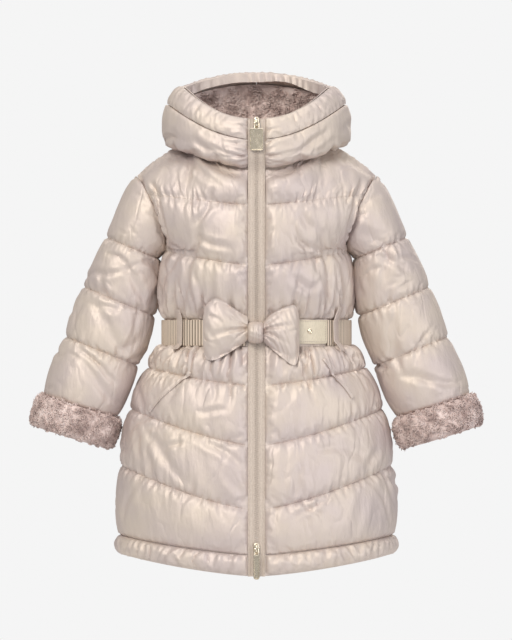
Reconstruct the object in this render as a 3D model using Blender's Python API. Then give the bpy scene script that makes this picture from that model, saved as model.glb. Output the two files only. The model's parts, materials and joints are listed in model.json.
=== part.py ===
"""Child's belted puffer coat with a fur-lined hood and fur cuffs, filled out as it hangs on a wearer.

Millimetres in this file, turned to metres where a mesh is made. +Z up, the front faces -Y,
and +X is the wearer's left. The origin is the middle of the neck at shoulder height.
"""

import math
import random

import bmesh
import bpy
from mathutils import Vector
from mathutils.bvhtree import BVHTree

MM = 0.001

# Cloth and seams
SEAM_OUT = 1.5          # outer face of a seam from the middle of the wall
SEAM_IN = -1.5          # the plain inner face from the middle of the wall
SEAM_GAP = 0.3          # between two pieces at a seam
BODY_PUFF = 8.0         # height of the padding between two quilting lines
SLEEVE_PUFF = 6.5
HOOD_PUFF = 6.0
HEM_PUFF = 8.0
FUR_PILE = 10.0

# Zip
ZIP_HALF = 11.5         # half the width between the two front edges
CHAIN_HALF = 2.9
TAPE_THICK = 1.8

# Skirt rings, top to bottom: heights at centre front, side and centre back, half width, depths
SKIRT = (
    dict(name="waist", front=-251.5, side=-251.5, back=-251.5, wide=124, fore=88, aft=78),
    dict(name="quilt_3", front=-305, side=-283, back=-292, wide=143, fore=99, aft=90),
    dict(name="quilt_4", front=-385, side=-338, back=-358, wide=166, fore=110, aft=103),
    dict(name="quilt_5", front=-470, side=-414, back=-440, wide=179, fore=119, aft=113),
    dict(name="hem_seam", front=-529, side=-507, back=-518, wide=184, fore=123, aft=118),
)
HEM = (
    dict(name="hem_seam", front=-530, side=-508, back=-519, wide=184, fore=123, aft=118),
    dict(name="hem_edge", front=-558, side=-533, back=-546, wide=182, fore=121, aft=116),
)
WAIST = (
    dict(name="top", front=-216, side=-216, back=-216, wide=124, fore=86, aft=77),
    dict(name="bottom", front=-250.5, side=-250.5, back=-250.5, wide=124, fore=88, aft=78),
)
RISE_POWER = 1.4        # how a quilting line climbs from the centre to the side

# Bodice rows, bottom to top: heights, half width and depths below the armhole
BODICE = (
    dict(name="waist", front=-215, side=-215, back=-215, wide=124, fore=86, aft=77),
    dict(name="quilt_2", front=-143, side=-122, back=-128, wide=123, fore=98, aft=92),
    dict(name="quilt_1", front=-62, side=-46, back=-48, wide=146, fore=92, aft=94),
)
ARMHOLE_TOP = Vector((163, 0, -22))
ARMHOLE_LOW = Vector((121, 0, -114))
ARMHOLE_DEPTH = 47      # how far the armhole reaches to the front and back
ARMHOLE_BOW = 6         # how far its middle bends towards the neck
ARMHOLE_LOW_V = 1.10    # the row value where the side seam meets the armhole
QUILT_1_ANGLE = 62      # where the upper quilting line meets the armhole, degrees from its top

# Neck seam
NECK_WIDE = 80
NECK_FRONT_Y, NECK_SIDE_Y, NECK_BACK_Y = -80, 8, 60
NECK_FRONT_Z, NECK_SIDE_Z, NECK_BACK_Z = -15, 32, 44
NECK_POWER = 3.5
NECK_SHARE = 0.45       # share of the bodice's top edge that is neckline

# Hood rings, neck to face opening
HOOD = (
    dict(name="neck", front=-11.4, side=36.0, back=47.4, wide=80, fore=80, aft=60, power=2.7),
    dict(name="roll", front=-3, side=36, back=49, wide=106, fore=87, aft=86, power=2.0),
    dict(name="full", front=6, side=47, back=64, wide=119, fore=91, aft=106, power=2.2),
    dict(name="band_seam", front=25.5, side=74, back=98, wide=115, fore=92, aft=106, power=2.0),
    dict(name="rim", front=54, side=98, back=124, wide=99, fore=88, aft=72, power=2.2),
)
HOOD_CENTRE = math.radians(138)   # where the hood's side panel meets its centre strip

# Sleeve sections down the arm (wearer's left): centre, half width, half depth, tilt of the width
SLEEVE = (
    dict(name="quilt_1", x=168, y=1, z=-119, wide=33, deep=44, tilt=23),
    dict(name="quilt_2", x=187, y=3, z=-191, wide=46, deep=47, tilt=23),
    dict(name="quilt_3", x=211, y=1, z=-258, wide=47, deep=47, tilt=22),
    dict(name="cuff_seam", x=240, y=-6, z=-332, wide=48, deep=46, tilt=17),
)
CUFF_LENGTH = 44
CUFF_OUT = 3.2          # the fur stands this much outside the sleeve at its seam

# Where a quilting channel's outer points lie, from one line to the next
CHANNEL = (0.0, 0.12, 0.36, 0.64, 0.88)

COLOURS = dict(
    shell=(0.62, 0.545, 0.485),
    fur=(0.42, 0.335, 0.315),
    tape=(0.60, 0.52, 0.44),
    metal=(0.80, 0.76, 0.66),
    elastic=(0.52, 0.43, 0.34),
    strap=(0.72, 0.65, 0.52),
)
FINISH = dict(shell=(0.35, 0.4), fur=(0.95, 0.0), tape=(0.6, 0.0), metal=(0.25, 1.0),
              elastic=(0.55, 0.1), strap=(0.3, 0.4))


def clear_scene():
    for obj in list(bpy.data.objects):
        bpy.data.objects.remove(obj)


def material(kind):
    found = bpy.data.materials.get(kind)
    if found:
        return found
    made = bpy.data.materials.new(kind)
    made.use_nodes = True
    shader = made.node_tree.nodes["Principled BSDF"]
    shader.inputs["Base Color"].default_value = (*COLOURS[kind], 1)
    shader.inputs["Roughness"].default_value = FINISH[kind][0]
    shader.inputs["Metallic"].default_value = FINISH[kind][1]
    return made


def add_object(name, points, faces, kind, origin=(0, 0, 0)):
    """One closed mesh object from points in millimetres. Its origin is where a joint would turn it."""
    start = Vector(origin)
    mesh = bpy.data.meshes.new(name)
    mesh.from_pydata([(Vector(p) - start) * MM for p in points], [], faces)
    work = bmesh.new()
    work.from_mesh(mesh)
    bmesh.ops.recalc_face_normals(work, faces=work.faces)
    work.to_mesh(mesh)
    work.free()
    mesh.shade_smooth()
    mesh.set_sharp_from_angle(angle=math.radians(50))
    mesh.materials.append(material(kind))
    obj = bpy.data.objects.new(name, mesh)
    obj.location = start * MM
    bpy.context.scene.collection.objects.link(obj)
    return obj


def mix(a, b, t):
    return a + (b - a) * t


def table_value(table, key, v):
    """A column of a table at row value v, on a smooth curve through the rows."""
    last = len(table) - 1
    v = min(max(v, 0.0), last)
    k = min(int(v), last - 1)
    t = v - k
    p1, p2 = table[k][key], table[k + 1][key]
    p0 = table[k - 1][key] if k > 0 else 2 * p1 - p2
    p3 = table[k + 2][key] if k + 2 <= last else 2 * p2 - p1
    m1, m2 = (p2 - p0) / 2, (p3 - p1) / 2
    return ((2 * t**3 - 3 * t**2 + 1) * p1 + (t**3 - 2 * t**2 + t) * m1
            + (-2 * t**3 + 3 * t**2) * p2 + (t**3 - t**2) * m2)


def ring_point(table, angle, v, power=RISE_POWER):
    """A point of a ring: angle 0 is centre front, 90 degrees the side, 180 centre back."""
    wide, fore, aft = (table_value(table, key, v) for key in ("wide", "fore", "aft"))
    front, side, back = (table_value(table, key, v) for key in ("front", "side", "back"))
    share = abs(math.sin(angle)) ** power
    facing = math.cos(angle)
    depth = -fore * facing if facing > 0 else -aft * facing
    centre = front if facing > 0 else back
    return Vector((wide * math.sin(angle), depth, mix(centre, side, share)))


def channel_puff(v, height, soft=0.55):
    """The padding's height between two quilting lines, which lie at whole row values."""
    t = v - math.floor(v)
    return height * max(0.0, 1 - (2 * t - 1) ** 2) ** soft


def edge_fade(u, ends=(True, True), width=0.07):
    """0 at a panel's seamed edges, rising to 1 a little way in."""
    near = min(u if ends[0] else 1.0, 1 - u if ends[1] else 1.0)
    return min(1.0, max(0.0, near / width)) ** 0.5


def ease(t):
    t = min(1.0, max(0.0, t))
    return t * t * (3 - 2 * t)


def soft_trough(distance, half_width):
    """1 in the middle of a crease, 0 from its half width out."""
    r = min(1.0, abs(distance) / half_width)
    return (1 - r * r) ** 2


def gathers(u, from_seam, count, depth, reach, phase=0.0):
    """Uneven gathers that run out from an elastic seam and die away over reach."""
    warped = u + 0.045 * math.sin(9 * u + phase)
    wave = math.cos(2 * math.pi * count * warped + phase)
    uneven = 0.75 + 0.25 * math.sin(5 * u + 2 * phase)
    return depth * wave * uneven * math.exp(-((from_seam / reach) ** 2))


def bridge(faces, first, first_at, second, second_at):
    """Triangles between two rows of points that share their ends but not their number."""
    i = j = 0
    while i < len(first) - 1 or j < len(second) - 1:
        step_first = j == len(second) - 1 or (
            i < len(first) - 1 and first_at[i + 1] <= second_at[j + 1] + 1e-9)
        if step_first:
            faces.append((first[i], first[i + 1], second[j]))
            i += 1
        else:
            faces.append((first[i], second[j + 1], second[j]))
            j += 1


def surface_normal(surface, u, v, sign):
    step = 1e-3
    along = surface(u + step, v) - surface(u - step, v)
    up = surface(u, v + step) - surface(u, v - step)
    return along.cross(up).normalized() * sign


def add_shell(name, surface, relief, us, vs, kind, outward, closed=False,
              inner_every=(2, 5), inside=None, lean=None, flip=False):
    """A cloth wall: outer points with relief over a plain inner face, closed round its edges.

    surface(u, v) is the middle of the seam's thickness, relief(u, v) the height over it, and
    outward a point inside the garment that the outer face looks away from. A closed shell is a
    tube, whose last column is left out because it is its first. lean(normal, u, v, point) turns
    the wall at a seam the way its neighbour's wall goes. flip puts the relief on the inside.
    """
    middle = surface(us[len(us) // 2], vs[len(vs) // 2])
    sign = 1.0
    if surface_normal(surface, us[len(us) // 2], vs[len(vs) // 2], 1.0).dot(middle - outward) < 0:
        sign = -1.0
    if flip:
        sign = -sign
    inside = inside or (lambda u, v: SEAM_IN)
    lean = lean or (lambda normal, u, v, point: normal)
    inner_us = sorted({*us[:: inner_every[0]], us[-1]})
    inner_vs = sorted({*vs[:: inner_every[1]], vs[-1]})
    points, faces = [], []

    def grid(columns, rows, offset):
        kept = columns[:-1] if closed else columns
        index = []
        for v in rows:
            row = []
            for u in kept:
                row.append(len(points))
                point = surface(u, v)
                normal = lean(surface_normal(surface, u, v, sign), u, v, point)
                points.append(point + normal * offset(u, v))
            if closed:
                row.append(row[0])
            index.append(row)
        for r in range(len(rows) - 1):
            for c in range(len(columns) - 1):
                faces.append((index[r][c], index[r][c + 1], index[r + 1][c + 1], index[r + 1][c]))
        return index

    outer = grid(us, vs, lambda u, v: SEAM_OUT + relief(u, v))
    inner = grid(inner_us, inner_vs, inside)
    bridge(faces, outer[0], us, inner[0], inner_us)
    bridge(faces, outer[-1], us, inner[-1], inner_us)
    if not closed:
        bridge(faces, [r[0] for r in outer], vs, [r[0] for r in inner], inner_vs)
        bridge(faces, [r[-1] for r in outer], vs, [r[-1] for r in inner], inner_vs)
    return add_object(name, points, faces, kind)


def steps(first, last, count):
    return [mix(first, last, k / count) for k in range(count + 1)]


def channel_rows(first, last, trim=0.004):
    """Row values with the channel's points between each two quilting lines."""
    rows = [k + t for k in range(first, last) for t in CHANNEL] + [float(last)]
    rows[0] += trim
    rows[-1] -= trim
    return rows


# Skirt

FRONT_COLUMNS, BACK_COLUMNS = 18, 30


def skirt_surface(side):
    def surface(u, v):
        wide = table_value(SKIRT, "wide", v)
        start = math.asin((ZIP_HALF + SEAM_GAP) / wide)
        end = math.pi / 2 - SEAM_GAP / 2 / wide
        point = ring_point(SKIRT, mix(start, end, u), v)
        return Vector((side * point.x, point.y, point.z))
    return surface


def skirt_back_surface(u, v):
    trim = SEAM_GAP / 2 / table_value(SKIRT, "wide", v)
    return ring_point(SKIRT, mix(math.pi / 2 + trim, 1.5 * math.pi - trim, u), v)


# Larger creases of each skirt front: (u, v) ends, half width and depth
SKIRT_CREASES = (
    dict(side=-1, u0=0.80, v0=0.25, u1=0.95, v1=1.6, half=0.060, depth=3.5),
    dict(side=-1, u0=0.55, v0=0.05, u1=0.70, v1=0.9, half=0.055, depth=3.0),
    dict(side=-1, u0=0.60, v0=2.20, u1=0.30, v1=2.9, half=0.070, depth=3.0),
    dict(side=1, u0=0.62, v0=0.10, u1=0.80, v1=1.3, half=0.060, depth=4.0),
    dict(side=1, u0=0.35, v0=2.15, u1=0.62, v1=2.8, half=0.070, depth=3.0),
)


def crease_relief(table, side, u, v):
    total = 0.0
    for row in table:
        if row["side"] != side:
            continue
        du, dv = row["u1"] - row["u0"], row["v1"] - row["v0"]
        t = ((u - row["u0"]) * du + (v - row["v0"]) * dv) / (du * du + dv * dv)
        t = min(1.0, max(0.0, t))
        off = math.hypot(u - row["u0"] - t * du, (v - row["v0"] - t * dv) * 0.4)
        total -= row["depth"] * soft_trough(off, row["half"]) * (1 - (2 * t - 1) ** 4)
    return total


def skirt_relief(side):
    def relief(u, v):
        fade = edge_fade(u)
        gather = gathers(u, v, 5, 3.0, 0.75, phase=1.1 * side)
        creases = crease_relief(SKIRT_CREASES, side, u, v)
        low = channel_puff(v, BODY_PUFF) * fade
        return max(0.0, low + (gather + creases) * fade * min(1.0, low / 3))
    return relief


def skirt_back_relief(u, v):
    fade = edge_fade(u, width=0.04)
    low = channel_puff(v, BODY_PUFF) * fade
    return max(0.0, low + gathers(u, v, 10, 3.0, 0.75) * fade * min(1.0, low / 3))


def build_skirt():
    inside = Vector((0, 0, -400))
    rows = channel_rows(0, 4)
    for side, name in ((1, "front_skirt_left"), (-1, "front_skirt_right")):
        add_shell(name, skirt_surface(side), skirt_relief(side), steps(0, 1, FRONT_COLUMNS),
                  rows, "shell", inside, inner_every=(3, 5))
    add_shell("back_skirt", skirt_back_surface, skirt_back_relief, steps(0, 1, BACK_COLUMNS),
              rows, "shell", inside, inner_every=(2, 5))


def build_hem():
    """The casing round the hem: a fat padded band in three pieces."""
    inside = Vector((0, 0, -540))
    rows = [0.0, 0.15, 0.42, 0.72, 0.92, 1.0]

    def surface(start, end, side):
        def at(u, v):
            point = ring_point(HEM, mix(start, end, u), v)
            return Vector((side * point.x, point.y, point.z))
        return at

    def relief(count):
        def at(u, v):
            bulge = max(0.0, 1 - (2 * v - 1) ** 2) ** 0.5
            pucker = 1 + 0.16 * math.cos(2 * math.pi * count * (u + 0.01 * math.sin(17 * u)))
            return HEM_PUFF * bulge * pucker * edge_fade(u, width=0.04)
        return at

    wide = HEM[0]["wide"]
    start = math.asin((ZIP_HALF + SEAM_GAP) / wide)
    trim = SEAM_GAP / 2 / wide
    for side, name in ((1, "hem_front_left"), (-1, "hem_front_right")):
        add_shell(name, surface(start, math.pi / 2 - trim, side), relief(7),
                  steps(0, 1, 21), rows, "shell", inside, inner_every=(3, 5))
    add_shell("hem_back", surface(math.pi / 2 + trim, 1.5 * math.pi - trim, 1), relief(12),
              steps(0, 1, 36), rows, "shell", inside, inner_every=(3, 5))


def build_waistband():
    """The elastic casing between bodice and skirt, open at the zip. The belt hides most of it."""
    wide = WAIST[0]["wide"]
    start = math.asin((ZIP_HALF + SEAM_GAP) / wide)
    add_shell("waistband", lambda u, v: ring_point(WAIST, mix(start, 2 * math.pi - start, u), v),
              lambda u, v: 0.0, steps(0, 1, 48), [0.0, 1.0], "shell", Vector((0, 0, -234)),
              inner_every=(2, 1))


# Bodice

def armhole(angle, back):
    """The armhole seam: 0 at the shoulder tip, pi under the arm."""
    centre = (ARMHOLE_TOP + ARMHOLE_LOW) / 2
    half = (ARMHOLE_TOP - ARMHOLE_LOW) / 2
    out = ARMHOLE_DEPTH if back else -ARMHOLE_DEPTH
    return centre + half * math.cos(angle) + Vector((-ARMHOLE_BOW, out, 0)) * math.sin(angle)


def neck_point(angle):
    wide = NECK_WIDE * math.sin(angle)
    facing = math.cos(angle)
    share = abs(math.sin(angle)) ** NECK_POWER
    if facing > 0:
        y = mix(NECK_SIDE_Y, NECK_FRONT_Y, facing)
        z = mix(NECK_FRONT_Z, NECK_SIDE_Z, share)
    else:
        y = mix(NECK_SIDE_Y, NECK_BACK_Y, -facing)
        z = mix(NECK_BACK_Z, NECK_SIDE_Z, share)
    return Vector((wide, y, z))


def bodice_edge(v, back):
    """The panel's outer edge: up the side seam, then up the armhole to the shoulder tip."""
    if v <= ARMHOLE_LOW_V:
        t = v / ARMHOLE_LOW_V
        low = Vector((BODICE[0]["wide"], 0, BODICE[0]["side"]))
        swell = 4 * math.sin(math.pi * t)
        return low.lerp(ARMHOLE_LOW, t) + Vector((swell, 0, 0))
    line = math.radians(QUILT_1_ANGLE)
    if v <= 2:
        angle = mix(math.pi, line, (v - ARMHOLE_LOW_V) / (2 - ARMHOLE_LOW_V))
    else:
        angle = mix(line, 0.0, v - 2)
    return armhole(max(angle, 0.0), back)


def bodice_top(u, back, start):
    """The top edge: along the neck, then along the shoulder seam to its tip."""
    if u < NECK_SHARE:
        if back:
            return neck_point(mix(math.pi, math.pi / 2, u / NECK_SHARE))
        return neck_point(mix(start, math.pi / 2, u / NECK_SHARE))
    t = (u - NECK_SHARE) / (1 - NECK_SHARE)
    neck = neck_point(math.pi / 2)
    return neck.lerp(ARMHOLE_TOP, t) + Vector((0, 0, 5 * math.sin(math.pi * t)))


def bodice_row(u, v, back):
    centre_key = "back" if back else "front"
    depth = table_value(BODICE, "aft" if back else "fore", v)
    z = table_value(BODICE, centre_key, v)
    edge = bodice_edge(v, back)
    reach = math.radians(mix(90, 58, min(1.0, max(0.0, (v - 1) / 1.0))))
    first = 0.0 if back else math.asin((ZIP_HALF + SEAM_GAP) * math.sin(reach) / edge.x)
    turn = mix(first, reach, u)
    x = edge.x * math.sin(turn) / math.sin(reach)
    face = depth if back else -depth
    y = face + (edge.y - face) * (1 - math.cos(turn)) / (1 - math.cos(reach))
    share = min(1.0, abs(x / edge.x)) ** RISE_POWER
    return Vector((x, y, mix(z, edge.z, share)))


def bodice_point(u, v, back):
    """Half a bodice on the wearer's left: u from centre to side, v from waist (0) to top (3)."""
    if v <= 2:
        return bodice_row(u, v, back)
    t = v - 2
    low = bodice_row(u, 2.0, back)
    high = bodice_top(u, back, math.asin((ZIP_HALF + SEAM_GAP) / NECK_WIDE))
    out = Vector((0.15, 0.75 if back else -0.75, 0.65))
    swell = 10 * math.sin(math.pi * min(t, 1.0)) * math.sin(math.pi * min(1.0, 0.1 + 0.9 * u)) ** 0.6
    swell *= 1 - 0.75 * ease((t - 0.35) / 0.5)
    if u >= 1.0:
        swell = 0.0
    return low.lerp(high, t) + out * swell


EDGE_TRIM = 0.008       # keeps the side and armhole edges just clear of their seam line


def bodice_front_surface(side):
    def surface(u, v):
        point = bodice_point(mix(0.0, 1 - EDGE_TRIM, u), v, False)
        return Vector((side * point.x, point.y, point.z))
    return surface


def bodice_back_surface(u, v):
    across = (2 * u - 1) * (1 - EDGE_TRIM)
    point = bodice_point(abs(across), v, True)
    return Vector((math.copysign(point.x, across), point.y, point.z))


def neck_out(point):
    """The way the walls go at the neck seam."""
    flat = Vector((point.x, point.y - NECK_SIDE_Y, 0)).normalized()
    return (flat + Vector((0, 0, 0.8))).normalized()


def armhole_out(angle, side, back):
    """The way the walls go at the armhole seam."""
    centre = (ARMHOLE_TOP + ARMHOLE_LOW) / 2
    out = (armhole(angle, back) - centre).normalized() + Vector((0.4, 0, 0))
    return Vector((side * out.x, out.y, out.z)).normalized()


def armhole_weight(angle):
    return ease((math.pi - angle) / math.radians(60))


def bodice_lean(back):
    def lean(normal, u, v, point):
        side = math.copysign(1.0, point.x)
        across = abs(2 * u - 1) if back else u
        if v > ARMHOLE_LOW_V:
            line = math.radians(QUILT_1_ANGLE)
            angle = mix(math.pi, line, (v - ARMHOLE_LOW_V) / (2 - ARMHOLE_LOW_V))
            if v > 2:
                angle = mix(line, 0.0, v - 2)
            share = ease((across - 0.85) / 0.15) * armhole_weight(angle)
            normal = normal.lerp(armhole_out(max(angle, 0.0), side, back), share)
        shoulder = Vector((side * 0.42, 0, 0.91))
        top = neck_out(point).lerp(shoulder, ease((across - NECK_SHARE) / 0.12))
        return normal.lerp(top, ease((v - 2.6) / 0.4)).normalized()
    return lean


BODICE_CREASES = (
    dict(side=-1, u0=0.86, v0=2.3, u1=0.84, v1=1.3, half=0.050, depth=5.0),
    dict(side=-1, u0=0.48, v0=0.1, u1=0.44, v1=1.7, half=0.055, depth=4.5),
    dict(side=-1, u0=0.85, v0=0.1, u1=0.72, v1=0.8, half=0.045, depth=3.5),
    dict(side=1, u0=0.88, v0=2.4, u1=0.85, v1=1.2, half=0.050, depth=5.0),
    dict(side=1, u0=0.46, v0=0.1, u1=0.52, v1=1.6, half=0.055, depth=4.0),
    dict(side=1, u0=0.90, v0=0.1, u1=0.84, v1=0.9, half=0.045, depth=3.5),
)


def bodice_flatter(across, v):
    """The padding is flatter under the arms and where the hood lies on it."""
    arm = 1 - 0.38 * ease((across - 0.8) / 0.2)
    pit = 1 - 0.85 * ease((across - 0.85) / 0.12) * ease(1 - abs(v - 1.1) / 0.45)
    return arm * pit * (1 - 0.75 * ease((v - 2.35) / 0.5))


def bodice_front_relief(side):
    def relief(u, v):
        fade = edge_fade(u)
        low = channel_puff(v, BODY_PUFF) * fade * bodice_flatter(u, v)
        gather = gathers(u, v, 5, 3.0, 0.8, phase=0.9 * side)
        creases = crease_relief(BODICE_CREASES, side, u, v)
        return max(0.0, low + (gather + creases) * fade * min(1.0, low / 3))
    return relief


def bodice_back_relief(u, v):
    fade = edge_fade(u, width=0.04)
    low = channel_puff(v, BODY_PUFF) * fade
    low *= bodice_flatter(abs(2 * u - 1), v)
    return max(0.0, low + gathers(u, v, 10, 3.0, 0.8) * fade * min(1.0, low / 3))


def build_bodice():
    inside = Vector((0, 0, -120))
    rows = channel_rows(0, 3)
    for side, name in ((1, "front_bodice_left"), (-1, "front_bodice_right")):
        add_shell(name, bodice_front_surface(side), bodice_front_relief(side),
                  steps(0, 1, FRONT_COLUMNS), rows, "shell", inside, inner_every=(2, 3),
                  lean=bodice_lean(False))
    add_shell("back_bodice", bodice_back_surface, bodice_back_relief,
              steps(0, 1, BACK_COLUMNS), rows, "shell", inside, inner_every=(2, 3),
              lean=bodice_lean(True))


# Sleeves and cuffs

HEAD_GAP = 0.4           # between the sleeve head and the armhole
PIT_GAP = 4.5            # the same under the arm, where both walls are folded back to back
RING_COLUMNS = 28


def sleeve_section(k, turn):
    """A point of a sleeve ring: turn 0 is the outer side, 90 degrees the front."""
    if k == 0:
        # the first ring runs along the armhole seam, moved out along the arm
        angle = turn if turn <= math.pi else 2 * math.pi - turn
        point = armhole(angle, turn > math.pi)
        gap = mix(HEAD_GAP, PIT_GAP, ((1 - math.cos(angle)) / 2) ** 3)
        return point + Vector((0.93, 0, -0.37)) * gap
    row = SLEEVE[k - 1]
    tilt = math.radians(row["tilt"])
    outer = Vector((math.cos(tilt), 0, math.sin(tilt)))
    return (Vector((row["x"], row["y"], row["z"])) + outer * row["wide"] * math.cos(turn)
            + Vector((0, -row["deep"], 0)) * math.sin(turn))


def sleeve_point(turn, v):
    last = len(SLEEVE)
    turn = turn % (2 * math.pi)
    k = min(max(int(math.floor(v)), 0), last - 1)
    t = v - k
    p1, p2 = sleeve_section(k, turn), sleeve_section(k + 1, turn)
    p0 = sleeve_section(k - 1, turn) if k > 0 else p1 * 2 - p2
    p3 = sleeve_section(k + 2, turn) if k + 2 <= last else p2 * 2 - p1
    m1, m2 = (p2 - p0) / 2, (p3 - p1) / 2
    if k == 0:
        m1 = p2 - p1
    return (p1 * (2 * t**3 - 3 * t**2 + 1) + m1 * (t**3 - 2 * t**2 + t)
            + p2 * (-2 * t**3 + 3 * t**2) + m2 * (t**3 - t**2))


SLEEVE_CREASES = (
    dict(side=-1, u0=0.20, v0=1.2, u1=0.38, v1=1.9, half=0.045, depth=3.5),
    dict(side=-1, u0=0.16, v0=2.2, u1=0.34, v1=2.9, half=0.045, depth=3.5),
    dict(side=-1, u0=0.18, v0=3.2, u1=0.38, v1=3.8, half=0.045, depth=4.0),
    dict(side=1, u0=0.30, v0=0.3, u1=0.24, v1=0.9, half=0.045, depth=3.0),
    dict(side=1, u0=0.28, v0=2.2, u1=0.33, v1=3.2, half=0.040, depth=3.5),
    dict(side=1, u0=0.33, v0=3.3, u1=0.14, v1=3.8, half=0.045, depth=4.0),
)


def sleeve_surface(side):
    def surface(u, v):
        point = sleeve_point(2 * math.pi * u, v)
        return Vector((side * point.x, point.y, point.z))
    return surface


def sleeve_relief(side):
    def relief(u, v):
        low = channel_puff(v, SLEEVE_PUFF)
        # flatter where the arm lies along the body
        inner = soft_trough(abs(u - 0.5), 0.2)
        if v < 2:
            low *= 1 - 0.75 * inner
        creases = crease_relief(SLEEVE_CREASES, side, u, v)
        return max(0.0, low + creases * min(1.0, low / 3))
    return relief


def sleeve_lean(side):
    def lean(normal, u, v, point):
        turn = 2 * math.pi * (u % 1.0)
        angle = turn if turn <= math.pi else 2 * math.pi - turn
        share = ease(1 - v / 0.3) * armhole_weight(angle)
        return normal.lerp(armhole_out(angle, side, turn > math.pi), share).normalized()
    return lean


def build_sleeves():
    rows = channel_rows(0, 4)
    for side, name in ((1, "sleeve_left"), (-1, "sleeve_right")):
        add_shell(name, sleeve_surface(side), sleeve_relief(side), steps(0, 1, RING_COLUMNS),
                  rows, "shell", Vector((side * 187, 3, -191)), closed=True, inner_every=(2, 5),
                  lean=sleeve_lean(side))


def fur_lump(u, v, count_u, count_v, seed):
    """Soft curls of fur, uneven but the same each time."""
    picked = random.Random(seed * 7919 + int(u * count_u) * 131 + int(v * count_v) * 17)
    return picked.uniform(-1.0, 1.0)


def build_cuffs():
    """The turned fur cuffs: a thick pile wall that follows the last sleeve ring."""
    row = SLEEVE[-1]
    tilt = math.radians(row["tilt"])
    down = Vector((math.sin(tilt) * 0.9, -0.10, -math.cos(tilt))).normalized()
    for side, name, seed in ((1, "cuff_left", 5), (-1, "cuff_right", 9)):
        def surface(u, v, side=side):
            ring = sleeve_section(len(SLEEVE), 2 * math.pi * (u % 1.0))
            centre = Vector((row["x"], row["y"], row["z"]))
            out = (ring - centre).normalized() * CUFF_OUT
            point = ring + out + down * (SEAM_GAP + 0.3 + v * CUFF_LENGTH)
            return Vector((side * point.x, point.y, point.z))

        def relief(u, v, seed=seed):
            bulge = max(0.0, 1 - (2 * v - 1) ** 2) ** 0.45
            lump = fur_lump(u % 1.0, v, RING_COLUMNS, 5, seed)
            return bulge * (FUR_PILE + 2.6 * lump)

        add_shell(name, surface, relief, steps(0, 1, RING_COLUMNS), [0, 0.1, 0.3, 0.55, 0.8, 0.94, 1],
                  "fur", Vector((side * row["x"], row["y"], row["z"] - 20)), closed=True,
                  inner_every=(2, 6))


# Hood

def hood_point(angle, v):
    power = table_value(HOOD, "power", v)
    point = ring_point(HOOD, angle, v, power)
    if v < 1:
        # the first ring is the neck seam, whose sides lie a little behind the middle
        point.y += NECK_SIDE_Y * abs(math.sin(angle)) * (1 - v)
    return point


def hood_start(v):
    return math.asin((ZIP_HALF + SEAM_GAP) / table_value(HOOD, "wide", v))


HOOD_CREASES = (
    dict(side=-1, u0=0.70, v0=1.1, u1=0.42, v1=1.9, half=0.07, depth=4.5),
    dict(side=-1, u0=0.20, v0=0.8, u1=0.50, v1=1.2, half=0.06, depth=3.5),
    dict(side=1, u0=0.30, v0=0.9, u1=0.62, v1=1.4, half=0.07, depth=4.5),
)


def hood_puff(v):
    return HOOD_PUFF * max(0.0, 1 - (2 * v / 3 - 1) ** 2) ** 0.5 * (0.1 + 0.9 * ease(v / 1.2))


HOOD_SIDE_COLUMNS, HOOD_BACK_COLUMNS = 18, 10


def build_hood():
    inside = Vector((0, 5, 40))
    rows = [0.02, 0.3, 0.65, 1.0, 1.5, 2.0, 2.45, 2.8, 2.985]
    for side, name in ((1, "hood_left"), (-1, "hood_right")):
        def surface(u, v, side=side):
            point = hood_point(mix(hood_start(v), HOOD_CENTRE, u), v)
            return Vector((side * point.x, point.y, point.z))

        def relief(u, v, side=side):
            low = hood_puff(v) * edge_fade(u)
            crease = crease_relief(HOOD_CREASES, side, u, v)
            return max(0.0, low + crease * edge_fade(u) * min(1.0, low / 3))

        add_shell(name, surface, relief, steps(0, 1, HOOD_SIDE_COLUMNS), rows, "shell", inside,
                  inner_every=(2, 2))

    trim = 0.003
    add_shell("hood_centre",
              lambda u, v: hood_point(mix(HOOD_CENTRE + trim, 2 * math.pi - HOOD_CENTRE - trim, u), v),
              lambda u, v: hood_puff(v) * edge_fade(u, width=0.1),
              steps(0, 1, HOOD_BACK_COLUMNS), rows, "shell", inside, inner_every=(2, 2))
    build_hood_band()
    build_hood_facing()
    build_hood_lining()


def build_hood_band():
    """The band round the face opening, from the hood's seam to the rim."""
    inside = Vector((0, 5, 40))
    start, end = hood_start(3.0), math.pi - 0.002
    angles = [mix(start, HOOD_CENTRE, k / HOOD_SIDE_COLUMNS) for k in range(HOOD_SIDE_COLUMNS)]
    half = HOOD_BACK_COLUMNS // 2
    angles += [mix(HOOD_CENTRE, end, k / half) for k in range(half + 1)]
    us = [(a - start) / (end - start) for a in angles]
    for side, name in ((1, "hood_band_left"), (-1, "hood_band_right")):
        def surface(u, v, side=side):
            level = mix(3.015, 4.0, v)
            point = hood_point(mix(hood_start(level), end, u), level)
            return Vector((side * point.x, point.y, point.z))

        def relief(u, v, side=side):
            bulge = max(0.0, 1 - (2 * v - 1) ** 2) ** 0.5
            gather = 0.10 * math.cos(2 * math.pi * 9 * u + side) * (u > 0.55)
            return (HOOD_PUFF - 1) * bulge * (1 + gather) * edge_fade(u, width=0.05)

        add_shell(name, surface, relief, us, [0, 0.12, 0.4, 0.7, 0.9, 1.0], "shell",
                  inside, inner_every=(2, 2))


FACING_DROP = 13.0      # how far the shell cloth turns down inside the rim


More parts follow.
